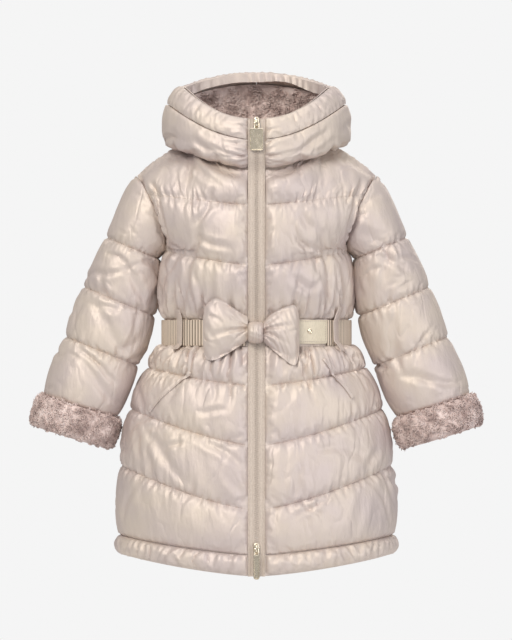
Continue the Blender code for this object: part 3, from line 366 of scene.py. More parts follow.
def bodice_lean(back):
    def lean(normal, u, v, point):
        side = math.copysign(1.0, point.x)
        across = abs(2 * u - 1) if back else u
        if v > ARMHOLE_LOW_V:
            line = math.radians(QUILT_1_ANGLE)
            angle = mix(math.pi, line, (v - ARMHOLE_LOW_V) / (2 - ARMHOLE_LOW_V))
            if v > 2:
                angle = mix(line, 0.0, v - 2)
            share = ease((across - 0.85) / 0.15) * armhole_weight(angle)
            normal = normal.lerp(armhole_out(max(angle, 0.0), side, back), share)
        shoulder = Vector((side * 0.42, 0, 0.91))
        top = neck_out(point).lerp(shoulder, ease((across - NECK_SHARE) / 0.12))
        return normal.lerp(top, ease((v - 2.6) / 0.4)).normalized()
    return lean


BODICE_CREASES = (
    dict(side=-1, u0=0.86, v0=2.3, u1=0.84, v1=1.3, half=0.050, depth=5.0),
    dict(side=-1, u0=0.48, v0=0.1, u1=0.44, v1=1.7, half=0.055, depth=4.5),
    dict(side=-1, u0=0.85, v0=0.1, u1=0.72, v1=0.8, half=0.045, depth=3.5),
    dict(side=1, u0=0.88, v0=2.4, u1=0.85, v1=1.2, half=0.050, depth=5.0),
    dict(side=1, u0=0.46, v0=0.1, u1=0.52, v1=1.6, half=0.055, depth=4.0),
    dict(side=1, u0=0.90, v0=0.1, u1=0.84, v1=0.9, half=0.045, depth=3.5),
)


def bodice_flatter(across, v):
    """The padding is flatter under the arms and where the hood lies on it."""
    arm = 1 - 0.38 * ease((across - 0.8) / 0.2)
    pit = 1 - 0.85 * ease((across - 0.85) / 0.12) * ease(1 - abs(v - 1.1) / 0.45)
    return arm * pit * (1 - 0.75 * ease((v - 2.35) / 0.5))


def bodice_front_relief(side):
    def relief(u, v):
        fade = edge_fade(u)
        low = channel_puff(v, BODY_PUFF) * fade * bodice_flatter(u, v)
        gather = gathers(u, v, 5, 3.0, 0.8, phase=0.9 * side)
        creases = crease_relief(BODICE_CREASES, side, u, v)
        return max(0.0, low + (gather + creases) * fade * min(1.0, low / 3))
    return relief


def bodice_back_relief(u, v):
    fade = edge_fade(u, width=0.04)
    low = channel_puff(v, BODY_PUFF) * fade
    low *= bodice_flatter(abs(2 * u - 1), v)
    return max(0.0, low + gathers(u, v, 10, 3.0, 0.8) * fade * min(1.0, low / 3))


HEAD_GAP = -0.6          # the sleeve head laps the armhole's edge
PIT_GAP = 2.5            # under the arm both walls are folded back to back


def sleeve_section(k, turn):
    """A point of a sleeve ring: turn 0 is the outer side, 90 degrees the front."""
    if k == 0:
        # the first ring runs along the armhole seam, moved out along the arm
        angle = turn if turn <= math.pi else 2 * math.pi - turn
        point = armhole(angle, turn > math.pi)
        gap = mix(HEAD_GAP, PIT_GAP, ((1 - math.cos(angle)) / 2) ** 3)
        return point + Vector((0.93, 0, -0.37)) * gap
    row = SLEEVE[k - 1]
    tilt = math.radians(row["tilt"])
    outer = Vector((math.cos(tilt), 0, math.sin(tilt)))
    return (Vector((row["x"], row["y"], row["z"])) + outer * row["wide"] * math.cos(turn)
            + Vector((0, -row["deep"], 0)) * math.sin(turn))


def sleeve_point(turn, v):
    last = len(SLEEVE)
    turn = turn % (2 * math.pi)
    k = min(max(int(math.floor(v)), 0), last - 1)
    t = v - k
    p1, p2 = sleeve_section(k, turn), sleeve_section(k + 1, turn)
    p0 = sleeve_section(k - 1, turn) if k > 0 else p1 * 2 - p2
    p3 = sleeve_section(k + 2, turn) if k + 2 <= last else p2 * 2 - p1
    m1, m2 = (p2 - p0) / 2, (p3 - p1) / 2
    if k == 0:
        m1 = p2 - p1
    return (p1 * (2 * t**3 - 3 * t**2 + 1) + m1 * (t**3 - 2 * t**2 + t)
            + p2 * (-2 * t**3 + 3 * t**2) + m2 * (t**3 - t**2))


SLEEVE_CREASES = (
    dict(side=-1, u0=0.20, v0=1.2, u1=0.38, v1=1.9, half=0.045, depth=3.5),
    dict(side=-1, u0=0.16, v0=2.2, u1=0.34, v1=2.9, half=0.045, depth=3.5),
    dict(side=-1, u0=0.18, v0=3.2, u1=0.38, v1=3.8, half=0.045, depth=4.0),
    dict(side=1, u0=0.30, v0=0.3, u1=0.24, v1=0.9, half=0.045, depth=3.0),
    dict(side=1, u0=0.28, v0=2.2, u1=0.33, v1=3.2, half=0.040, depth=3.5),
    dict(side=1, u0=0.33, v0=3.3, u1=0.14, v1=3.8, half=0.045, depth=4.0),
)


def sleeve_surface(side):
    def surface(u, v):
        point = sleeve_point(2 * math.pi * u, v)
        return Vector((side * point.x, point.y, point.z))
    return surface


def sleeve_relief(side):
    def relief(u, v):
        low = channel_puff(v, SLEEVE_PUFF)
        # flatter where the arm lies along the body
        inner = soft_trough(abs(u - 0.5), 0.2)
        if v < 2:
            low *= 1 - 0.75 * inner
        creases = crease_relief(SLEEVE_CREASES, side, u, v)
        return max(0.0, low + creases * min(1.0, low / 3))
    return relief


def sleeve_lean(side):
    def lean(normal, u, v, point):
        turn = 2 * math.pi * (u % 1.0)
        angle = turn if turn <= math.pi else 2 * math.pi - turn
        share = ease(1 - v / 0.3) * armhole_weight(angle)
        return normal.lerp(armhole_out(angle, side, turn > math.pi), share).normalized()
    return lean


def hood_point(angle, v):
    power = table_value(HOOD, "power", v)
    point = ring_point(HOOD, angle, v, power)
    if v < 1:
        # the first ring is the neck seam, whose sides lie a little behind the middle
        point.y += NECK_SIDE_Y * abs(math.sin(angle)) * (1 - v)
    return point


def hood_start(v):
    return math.asin((ZIP_HALF + SEAM_GAP) / table_value(HOOD, "wide", v))


HOOD_CREASES = (
    dict(side=-1, u0=0.70, v0=1.1, u1=0.42, v1=1.9, half=0.07, depth=4.5),
    dict(side=-1, u0=0.20, v0=0.8, u1=0.50, v1=1.2, half=0.06, depth=3.5),
    dict(side=1, u0=0.30, v0=0.9, u1=0.62, v1=1.4, half=0.07, depth=4.5),
)


def hood_puff(v):
    return HOOD_PUFF * max(0.0, 1 - (2 * v / 3 - 1) ** 2) ** 0.5 * (0.1 + 0.9 * ease(v / 1.2))


FACING_DROP = 13.0      # how far the shell cloth turns down inside the rim
LINING_START = math.radians(9)


def lining_surface(u, v):
    """The fur lining lies inside the hood, from the facing down to the neck."""
    level = mix(3.36, 1.7, v)
    angle = mix(LINING_START, 2 * math.pi - LINING_START, u)
    point = hood_point(angle, level)
    inward = Vector((-point.x, NECK_SIDE_Y - point.y, 0)).normalized()
    return point + inward * 8.3 + Vector((0, 0, 2.5 * v * v))


def centre_path():
    """The front edges' line from the hem to the hood's rim, smoothed, as (y, z)."""
    line = [ring_point(HEM, 0, v) for v in (1.0, 0.5, 0.0)]
    line += [ring_point(SKIRT, 0, v) for v in steps(4, 0, 28)[1:]]
    line += [ring_point(WAIST, 0, v) for v in (1.0, 0.5, 0.0)]
    line += [bodice_point(0, v, False) for v in steps(0, 3, 20)[1:]]
    line += [hood_point(0, v) for v in (0.6, 1.0, 1.6, 2.2, 2.6, 3.0, 3.4, 3.7, 4.0)]
    line = [Vector((0, p.y, p.z)) for p in line]
    for _ in range(3):
        middle = [(a + b * 2 + c) / 4 for a, b, c in zip(line, line[1:], line[2:])]
        line = [line[0], *middle, line[-1]]
    return line


def path_depth(line, z):
    """The depth of the front line at a height."""
    for a, b in zip(line, line[1:]):
        if a.z <= z <= b.z:
            return mix(a.y, b.y, (z - a.z) / (b.z - a.z))
    return line[-1].y if z > line[-1].z else line[0].y


CHAIN_HIGH = 2.2        # the teeth stand this far over the middle of the tape
PIVOT_OUT = 4.2         # the pull's pin in front of the slider's back face
# Sliders with their pulls: pin height, slider half width, bridge half width, and the pull's
# neck half width, plate half width and the height of its lower end below the pin
SLIDERS = (
    dict(name="top", z=48.5, half=4.0, bridge=1.5, neck=4.1, plate=9.2, drop=37.5),
    dict(name="bottom", z=-521.0, half=4.0, bridge=1.2, neck=3.6, plate=4.2, drop=41.0),
)
BELT_MIDDLE = SEAM_OUT + SEAM_GAP + 0.3 + 1.5
BELT_TOP, BELT_BOTTOM = -214.5, -251.5
TAB_BOTTOM = -248.0


def belt_surface(angle, z):
    point = ring_point(WAIST, angle, (z + 216) / -34.5)
    wide = WAIST[0]["wide"]
    deep = 87.0 if math.cos(angle) > 0 else 77.5
    out = Vector((point.x / wide**2, point.y / deep**2, 0)).normalized()
    return point + out * BELT_MIDDLE


def reach(tree, flat, z):
    """How far out the covered pieces come on a level ray towards the coat's middle."""
    start = Vector((flat.x * 400, flat.y * 400, z))
    hit = tree.ray_cast(start, Vector((-flat.x, -flat.y, 0)))[0]
    return Vector((hit.x, hit.y, 0)).length if hit else 0.0


# Belt loops: middle (mm across), upper and lower end
LOOPS = (
    dict(name="belt_loop_right", x=-101, top=-202, bottom=-255),
    dict(name="belt_loop_left", x=103.5, top=-198, bottom=-257),
)
LOOP_HALF, LOOP_THICK = 6.3, 1.8
# Bow loops from the knot outwards: place, upper and lower edge, and how far they stand out
BOW_RIGHT = (
    dict(x=-11.8, top=-212, low=-243, puff=9),
    dict(x=-20, top=-207, low=-249, puff=13),
    dict(x=-32, top=-199, low=-257, puff=17),
    dict(x=-44, top=-191, low=-264, puff=18),
    dict(x=-54, top=-187, low=-269, puff=17),
    dict(x=-63, top=-191, low=-270, puff=14),
    dict(x=-69, top=-199, low=-265, puff=9),
    dict(x=-72, top=-212, low=-252, puff=4),
)
BOW_LEFT = (
    dict(x=9.3, top=-219, low=-245, puff=9),
    dict(x=16, top=-211, low=-251, puff=13),
    dict(x=25, top=-205, low=-259, puff=17),
    dict(x=35, top=-200, low=-267, puff=18),
    dict(x=44, top=-197, low=-274, puff=17),
    dict(x=51, top=-196, low=-276, puff=14),
    dict(x=55, top=-201, low=-271, puff=9),
    dict(x=57.5, top=-213, low=-256, puff=4),
)
BOW_KNOT = (
    dict(x=-11.4, top=-221, low=-244, puff=12),
    dict(x=-9, top=-219, low=-246.5, puff=17),
    dict(x=-1, top=-218, low=-247.5, puff=21),
    dict(x=6.5, top=-219, low=-246.5, puff=17),
    dict(x=8.9, top=-221, low=-244, puff=12),
)
BOW_BASE = -93.0        # depth of the bow's middle, where its loops leave the knot
BOW_THIN = 2.6
# Pocket welts: upper and lower end on the front, (x, z)
POCKETS = (
    dict(name="pocket_welt_right", x0=-101, z0=-286, x1=-147, z1=-339),
    dict(name="pocket_welt_left", x0=104, z0=-268, x1=133, z1=-320),
)
WELT_HALF, WELT_THICK = 2.5, 2.2


SPACING = 2.7           # between the points of the padded cloth's outer face
SIM_SCALE = 0.01        # the cloth is simulated at ten times its size, where the solver is steady
SIM_FRAMES = 16
INSIDE = 4              # one inner point for so many outer ones


# Materials

def new_material(name):
    made = bpy.data.materials.new(name)
    made.use_nodes = True
    shader = made.node_tree.nodes["Principled BSDF"]
    return made, made.node_tree, shader


def noise(tree, scale, detail=3.0, stretch=(1, 1, 1), rough=0.55):
    """A noise texture in object metres, stretched along an axis."""
    place = tree.nodes.new("ShaderNodeTexCoord")
    turn = tree.nodes.new("ShaderNodeMapping")
    turn.inputs["Scale"].default_value = stretch
    tree.links.new(place.outputs["Object"], turn.inputs["Vector"])
    made = tree.nodes.new("ShaderNodeTexNoise")
    made.inputs["Scale"].default_value = scale
    made.inputs["Detail"].default_value = detail
    made.inputs["Roughness"].default_value = rough
    tree.links.new(turn.outputs["Vector"], made.inputs["Vector"])
    return made


def ramp(tree, source, stops):
    made = tree.nodes.new("ShaderNodeValToRGB")
    made.color_ramp.elements[0].position = stops[0][0]
    made.color_ramp.elements[0].color = (*stops[0][1], 1)
    made.color_ramp.elements[1].position = stops[-1][0]
    made.color_ramp.elements[1].color = (*stops[-1][1], 1)
    for at, colour in stops[1:-1]:
        element = made.color_ramp.elements.new(at)
        element.color = (*colour, 1)
    tree.links.new(source, made.inputs["Fac"])
    return made


def bump(tree, shader, layers):
    """Chained bumps: each layer is (height output, strength, distance in metres)."""
    last = None
    for height, strength, distance in layers:
        made = tree.nodes.new("ShaderNodeBump")
        made.inputs["Strength"].default_value = strength
        made.inputs["Distance"].default_value = distance
        tree.links.new(height, made.inputs["Height"])
        if last:
            tree.links.new(last.outputs["Normal"], made.inputs["Normal"])
        last = made
    tree.links.new(last.outputs["Normal"], shader.inputs["Normal"])


def crease_lines(tree, scale, stretch, width):
    """Fine lines where a noise crosses its middle value: 0 in the line, 1 away from it."""
    spread = noise(tree, scale, 2, stretch)
    middle = tree.nodes.new("ShaderNodeMath")
    middle.operation = "SUBTRACT"
    middle.inputs[1].default_value = 0.5
    tree.links.new(spread.outputs["Fac"], middle.inputs[0])
    away = tree.nodes.new("ShaderNodeMath")
    away.operation = "ABSOLUTE"
    tree.links.new(middle.outputs[0], away.inputs[0])
    made = tree.nodes.new("ShaderNodeMapRange")
    made.inputs["From Max"].default_value = width
    tree.links.new(away.outputs[0], made.inputs["Value"])
    return made.outputs["Result"]


def grey_range(tree, source, low, high):
    made = tree.nodes.new("ShaderNodeMapRange")
    made.inputs["To Min"].default_value = low
    made.inputs["To Max"].default_value = high
    tree.links.new(source, made.inputs["Value"])
    return made.outputs["Result"]


SHELL_MAUVE = (0.62, 0.54, 0.53)
SHELL_WARM = (0.69, 0.605, 0.545)


def shell_material():
    """Coated cloth with a pearl lustre: mauve body colour under broad cream highlights."""
    made, tree, shader = new_material("shell_cloth")
    broad = noise(tree, 14, 3)
    colour = ramp(tree, broad.outputs["Fac"], [(0.35, SHELL_MAUVE), (0.65, SHELL_WARM)])
    tree.links.new(colour.outputs["Color"], shader.inputs["Base Color"])
    shader.inputs["Metallic"].default_value = 0.3
    shader.inputs["IOR"].default_value = 1.6
    shader.inputs["Specular IOR Level"].default_value = 0.7
    shader.inputs["Specular Tint"].default_value = (1.0, 0.86, 0.64, 1)
    shader.inputs["Sheen Weight"].default_value = 0.12
    shader.inputs["Sheen Roughness"].default_value = 0.4
    shader.inputs["Sheen Tint"].default_value = (0.75, 0.66, 0.7, 1)
    fine = noise(tree, 420, 2)
    tree.links.new(grey_range(tree, broad.outputs["Fac"], 0.48, 0.6), shader.inputs["Roughness"])
    crinkle = noise(tree, 75, 4, (1, 1, 0.35))
    lines = crease_lines(tree, 24, (1, 1, 0.4), 0.05)
    bump(tree, shader, [(lines, 0.45, 0.0012), (crinkle.outputs["Fac"], 0.6, 0.0028),
                        (fine.outputs["Fac"], 0.15, 0.0002)])
    return made


def fur_material():
    made, tree, shader = new_material("fur")
    tone = noise(tree, 55, 3)
    colour = ramp(tree, tone.outputs["Fac"],
                  [(0.34, (0.42, 0.31, 0.29)), (0.5, (0.64, 0.51, 0.48)), (0.66, (0.82, 0.69, 0.66))])
    tree.links.new(colour.outputs["Color"], shader.inputs["Base Color"])
    shader.inputs["Roughness"].default_value = 0.8
    shader.inputs["Sheen Weight"].default_value = 0.5
    shader.inputs["Sheen Roughness"].default_value = 0.5
    shader.inputs["Sheen Tint"].default_value = (0.85, 0.74, 0.72, 1)
    fine = noise(tree, 700, 2)
    bump(tree, shader, [(fine.outputs["Fac"], 0.4, 0.0004)])
    return made


def woven_material(name, low, high, rough, scale=900, stretch=(1, 1, 0.35)):
    made, tree, shader = new_material(name)
    grain = noise(tree, scale, 2, stretch)
    colour = ramp(tree, grain.outputs["Fac"], [(0.35, low), (0.65, high)])
    tree.links.new(colour.outputs["Color"], shader.inputs["Base Color"])
    shader.inputs["Roughness"].default_value = rough
    shader.inputs["Sheen Weight"].default_value = 0.25
    bump(tree, shader, [(grain.outputs["Fac"], 0.35, 0.0003)])
    return made


def elastic_material():
    """The elastic's own colour on its ribs, with painted shade darkening the grooves, by the ribs' own height."""
    made, tree, shader = new_material("elastic")
    painted_groove_shade = tree.nodes.new("ShaderNodeAttribute")
    painted_groove_shade.attribute_name = "painted_groove_shade"
    # the dark stops are painted shade in the grooves; the light stop is the elastic's own colour on its ribs
    colour = ramp(tree, painted_groove_shade.outputs["Fac"],
                  [(0.1, (0.13, 0.095, 0.07)), (0.55, (0.52, 0.43, 0.35)), (1.0, (0.78, 0.67, 0.56))])
    tree.links.new(colour.outputs["Color"], shader.inputs["Base Color"])
    shader.inputs["Roughness"].default_value = 0.6
    grain = noise(tree, 800, 2, (1, 1, 0.35))
    bump(tree, shader, [(grain.outputs["Fac"], 0.35, 0.0003)])
    return made


def metal_material(name, colour, rough):
    made, tree, shader = new_material(name)
    wear = noise(tree, 260, 3)
    tone = ramp(tree, wear.outputs["Fac"], [(0.3, tuple(0.9 * c for c in colour)), (0.7, colour)])
    tree.links.new(tone.outputs["Color"], shader.inputs["Base Color"])
    shader.inputs["Metallic"].default_value = 1.0
    tree.links.new(grey_range(tree, wear.outputs["Fac"], rough - 0.06, rough + 0.1),
                   shader.inputs["Roughness"])
    return made


MATERIAL = {
    "shell": shell_material(),
    "fur": fur_material(),
    "tape": woven_material("zip_tape", (0.54, 0.46, 0.40), (0.64, 0.555, 0.49), 0.55),
    "coil": woven_material("zip_coil", (0.46, 0.385, 0.33), (0.56, 0.48, 0.42), 0.45),
    "elastic": elastic_material(),
    "strap": woven_material("strap", (0.66, 0.585, 0.45), (0.74, 0.66, 0.52), 0.38, 700),
    "thread": woven_material("thread", (0.50, 0.42, 0.37), (0.58, 0.49, 0.43), 0.6),
    "metal": metal_material("metal", (0.88, 0.79, 0.64), 0.24),
}


def add_mesh(name, points, faces, kind, body="coat", sharp=60):
    """A finished piece of the coat from points in millimetres, which moves with a body."""
    mesh = bpy.data.meshes.new(name)
    mesh.from_pydata([tuple(float(c) * MM for c in p) for p in points], [], faces)
    work = bmesh.new()
    work.from_mesh(mesh)
    bmesh.ops.recalc_face_normals(work, faces=work.faces)
    work.to_mesh(mesh)
    work.free()
    mesh.shade_smooth()
    if sharp:
        mesh.set_sharp_from_angle(angle=math.radians(sharp))
    mesh.materials.append(MATERIAL[kind])
    obj = bpy.data.objects.new(name, mesh)
    bpy.context.scene.collection.objects.link(obj)
    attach(obj, body)
    return obj


# Padded panels

def grid_points(surface, us, vs):
    return np.array([[surface(u, v)[:] for u in us] for v in vs])


def grid_normals(points, sign, closed):
    """Unit normals of a grid of points, row by row. A closed grid's rows run round a tube."""
    if closed:
        along = np.roll(points, -1, axis=1) - np.roll(points, 1, axis=1)
    else:
        along = np.gradient(points, axis=1)
    up = np.gradient(points, axis=0)
    normals = np.cross(along, up)
    return sign * normals / np.linalg.norm(normals, axis=2, keepdims=True)


def panel(name, surface, relief, us, vs, outward, closed=False, lean=None, seams=(), cap=1.6,
          grow=0.05, pressure=1.0, flip=False, creases=None):
    """Sets out a padded panel: a fine outer grid with relief, and what its simulation needs."""
    kept = us[:-1] if closed else us
    middle = grid_points(surface, kept, vs)
    normals = grid_normals(middle, 1.0, closed)
    r, c = len(vs) // 2, len(kept) // 2
    away = middle[r, c] - np.array(outward[:])
    turned = (np.dot(normals[r, c], away) < 0) != flip
    if turned:
        normals = -normals
    if lean:
        for i, v in enumerate(vs):
            for j, u in enumerate(kept):
                normals[i, j] = lean(Vector(normals[i, j]), u, v, Vector(middle[i, j]))[:]
    height = np.array([[relief(u, v) for u in kept] for v in vs])
    if creases:
        height = pressed(middle, height, creases, closed)
    outer = middle + normals * (SEAM_OUT + height)[..., None]
    pinned = np.zeros((len(vs), len(kept)), bool)
    pinned[0] = pinned[-1] = True
    if not closed:
        pinned[:, 0] = pinned[:, -1] = True
    for seam in seams:
        pinned[int(np.argmin([abs(v - seam) for v in vs]))] = True
    return dict(name=name, vs=vs, turned=turned, middle=middle, normals=normals, outer=outer, pinned=pinned,
                closed=closed, cap=cap, grow=grow, pressure=pressure, height=height, seams=seams)


def grid_faces(rows, columns, closed, first=0):
    faces = []
    for r in range(rows - 1):
        for c in range(columns if closed else columns - 1):
            n = (c + 1) % columns
            faces.append((first + r * columns + c, first + r * columns + n,
                          first + (r + 1) * columns + n, first + (r + 1) * columns + c))
    return faces


def simulate(panels):
    """Blows up and puckers the panels between their seams, then keeps each point near its place."""
    scene = bpy.context.scene
    random.seed(11)
    waiting = []
    for p in panels:
        rows, columns = p["outer"].shape[:2]
        mesh = bpy.data.meshes.new("sim_" + p["name"])
        # its own origin lies behind the panel, so that the solver's sense of volume is steady
        behind = p["outer"].mean(axis=(0, 1)) - p["normals"].mean(axis=(0, 1)) * 1500
        points = (p["outer"].reshape(-1, 3) - behind) * SIM_SCALE
        faces = grid_faces(rows, columns, p["closed"])
        if p["turned"]:
            faces = [tuple(reversed(f)) for f in faces]
        mesh.from_pydata(points.tolist(), [], faces)
        obj = bpy.data.objects.new("sim_" + p["name"], mesh)
        scene.collection.objects.link(obj)
        pins = obj.vertex_groups.new(name="pins")
        pins.add([int(i) for i in np.flatnonzero(p["pinned"])], 1.0, "REPLACE")
        cloth = obj.modifiers.new("cloth", "CLOTH")
        values = cloth.settings
        values.quality = 5
        values.mass = 0.15
        values.tension_stiffness = values.compression_stiffness = 12
        values.shear_stiffness = 4
        values.bending_stiffness = 0.12
        values.vertex_group_mass = "pins"
        values.shrink_min = -p["grow"]
        values.shrink_max = -p["grow"]
        values.use_pressure = True
        values.uniform_pressure_force = p["pressure"]
        values.effector_weights.gravity = 0
        cloth.collision_settings.use_self_collision = False
        cloth.point_cache.frame_start = 1
        cloth.point_cache.frame_end = SIM_FRAMES
        waiting.append((p, obj, behind))
    for step in range(1, SIM_FRAMES + 1):
        scene.frame_set(step)
    graph = bpy.context.evaluated_depsgraph_get()
    for p, obj, behind in waiting:
        found = np.empty(len(obj.data.vertices) * 3)
        obj.evaluated_get(graph).data.vertices.foreach_get("co", found)
        moved = found.reshape(p["outer"].shape) / SIM_SCALE + behind
        shift = moved - p["outer"]
        out = np.sum(shift * p["normals"], axis=2)
        along = shift - out[..., None] * p["normals"]
        length = np.linalg.norm(along, axis=2, keepdims=True)
        along *= np.minimum(1.0, 2.5 / np.maximum(length, 1e-6))
        low = -0.4 * p["height"]
        out = np.clip(out, low, p["cap"])
        p["outer"] = p["outer"] + along + out[..., None] * p["normals"]
        mesh = obj.data
        bpy.data.objects.remove(obj)
        bpy.data.meshes.remove(mesh)
    scene.frame_set(1)


def bridge(faces, first, first_at, second, second_at):
    i = j = 0
    while i < len(first) - 1 or j < len(second) - 1:
        if j == len(second) - 1 or (i < len(first) - 1 and first_at[i + 1] <= second_at[j + 1] + 1e-9):
            faces.append((first[i], first[i + 1], second[j]))
            i += 1
        else:
            faces.append((first[i], second[j + 1], second[j]))
            j += 1


def finish_panel(p, kind, nodes):
    """Closes a panel's wall with a plain inner face and adds it in its node's place."""
    rows, columns = p["outer"].shape[:2]
    points = list(p["outer"].reshape(-1, 3))
    faces = grid_faces(rows, columns, p["closed"])
    pick_r = sorted({*range(0, rows, INSIDE), rows - 1})
    pick_c = sorted({*range(0, columns, INSIDE)} | (set() if p["closed"] else {columns - 1}))
    inner = p["middle"] + p["normals"] * SEAM_IN
    first = len(points)
    points += [inner[r, c] for r in pick_r for c in pick_c]
    faces += grid_faces(len(pick_r), len(pick_c), p["closed"], first)

    def out_at(r, c):
        return r * columns + c % columns

    def in_at(i, j):
        return first + i * len(pick_c) + j % len(pick_c)

    round_out = list(range(columns + 1)) if p["closed"] else list(range(columns))
    round_in = pick_c + [columns] if p["closed"] else pick_c
    for r, i in ((0, 0), (rows - 1, len(pick_r) - 1)):
        bridge(faces, [out_at(r, c) for c in round_out], round_out,
               [in_at(i, j) for j in range(len(round_in))], round_in)
    if not p["closed"]:
        for c, j in ((0, 0), (columns - 1, len(pick_c) - 1)):
            bridge(faces, [out_at(r, c) for r in range(rows)], list(range(rows)),
                   [in_at(i, j) for i in range(len(pick_r))], pick_r)
    obj = add_mesh(p["name"], points, faces, kind)
    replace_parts(obj, *nodes)
    return obj


def fine_rows(first, last, each, trim=0.004):
    """Row values with whole numbers, the quilting lines, among them."""
    rows = [first + k / each for k in range(int((last - first) * each) + 1)]
    rows[0] += trim
    rows[-1] -= trim
    return rows


def count(length):
    return max(4, round(length / SPACING))


def wobble(seed, size):
    """Small uneven lumps for a panel's padding, the same each run."""
    picked = random.Random(seed)
    waves = [(picked.uniform(2, 9), picked.uniform(1, 5), picked.uniform(0, 6.3), picked.uniform(0.4, 1))
             for _ in range(7)]

    def at(u, v):
        total = sum(a * math.sin(fu * 6.3 * u + fv * 2.1 * v + phase) for fu, fv, phase, a in waves)
        return size * total / 4
    return at


def pressed(middle, height, creases, closed):
    """Presses creases into a panel's relief. Each has a soft valley with low ridges beside it.

    creases(length, rows) makes them for a panel of that length, whose rows lie at those heights, as
    (x, y, angle from the upright, length, half width, depth, whether it starts at a seam).
    """
    along = np.linalg.norm(np.diff(middle, axis=1), axis=2).sum(axis=1).mean()
    ups = np.linalg.norm(np.diff(middle, axis=0), axis=2).mean(axis=1)
    level = np.concatenate([[0.0], np.cumsum(ups)])
    x = np.linspace(0, along, height.shape[1], endpoint=not closed)[None, :]
    y = level[:, None]
    cut = np.zeros_like(height)
    for x0, y0, angle, length, half, depth, from_seam in creases(along, level):
        dx, dy = x - x0, y - y0
        if closed:
            dx = (dx + along / 2) % along - along / 2
        s = dx * math.sin(angle) + dy * math.cos(angle)
        bend = 0.35 * half * np.sin(s / 7.0 + x0)
        off = np.abs(dx * math.cos(angle) - dy * math.sin(angle) + bend) / half
        t = s / length
        if from_seam:
            strength = np.clip(1 - t, 0, 1) ** 0.8 * (t > -0.02)
        else:
            strength = np.sin(np.pi * np.clip(t, 0, 1))
        cut += depth * strength * (np.exp(-off**2) - 0.4 * np.exp(-((off - 1.9) ** 2)))
    return np.maximum(0.0, height - cut * np.minimum(1.0, height / 1.6))


def panel_creases(seed, seams=(), waist=False, neck=False, folds=5, each=7.5, strength=1.0):
    """Puckers on both sides of the quilting lines, gathers at an elastic, and a few larger folds."""
    def make(length, rows):
        picked = random.Random(seed)
        out = []
        span = len(rows) - 1
        total = rows[-1]
        lines = [rows[int(round(k * span))] for k in seams]
        for line in lines:
            for way in (1, -1):
                x = picked.uniform(0, each)
                while x < length:
                    reach = picked.uniform(7, 20) if picked.random() < 0.8 else picked.uniform(20, 36)
                    angle = picked.gauss(0, 0.16) + (0 if way > 0 else math.pi)
                    out.append((x, line, angle, reach, picked.uniform(1.7, 3.0),
                                strength * picked.uniform(0.8, 2.4), True))
                    x += each * picked.uniform(0.5, 1.6)
        if waist:
            x = picked.uniform(2, 6)
            while x < length:
                reach = picked.uniform(22, 58) if picked.random() < 0.7 else picked.uniform(58, 85)
                out.append((x, 0.0, picked.gauss(0, 0.14), reach, picked.uniform(2.0, 3.6),
                            picked.uniform(2.2, 6.0), True))
                x += picked.uniform(5, 12)
        if neck:
            x = picked.uniform(2, 6)
            while x < length:
                out.append((x, total, math.pi + picked.gauss(0.25, 0.35), picked.uniform(20, 55),
                            picked.uniform(1.8, 3.0), picked.uniform(0.8, 2.0), True))
                x += picked.uniform(5, 11)
        for _ in range(folds):
            out.append((picked.uniform(0.1, 0.9) * length, picked.uniform(0.1, 0.8) * total,
                        picked.uniform(-1.3, 1.3), picked.uniform(30, 75), picked.uniform(2.8, 6.0),
                        picked.uniform(1.4, 3.4), False))
        return out
    return make


def with_lumps(relief, seed, size=0.8):
    lump = wobble(seed, size)

    def at(u, v):
        base = relief(u, v)
        return max(0.0, base + lump(u, v) * min(1.0, base / 3.0))
    return at


def sleeve_full(side):
    """The sleeve's relief, full on its inner side too, where it lies against the coat."""
    def relief(u, v):
        low = max(1.2, channel_puff(v, SLEEVE_PUFF)) * (1 - 0.25 * soft_trough(abs(u - 0.5), 0.2) * (v < 1))
        return max(0.0, low + crease_relief(SLEEVE_CREASES, side, u, v) * min(1.0, low / 3))
    return relief


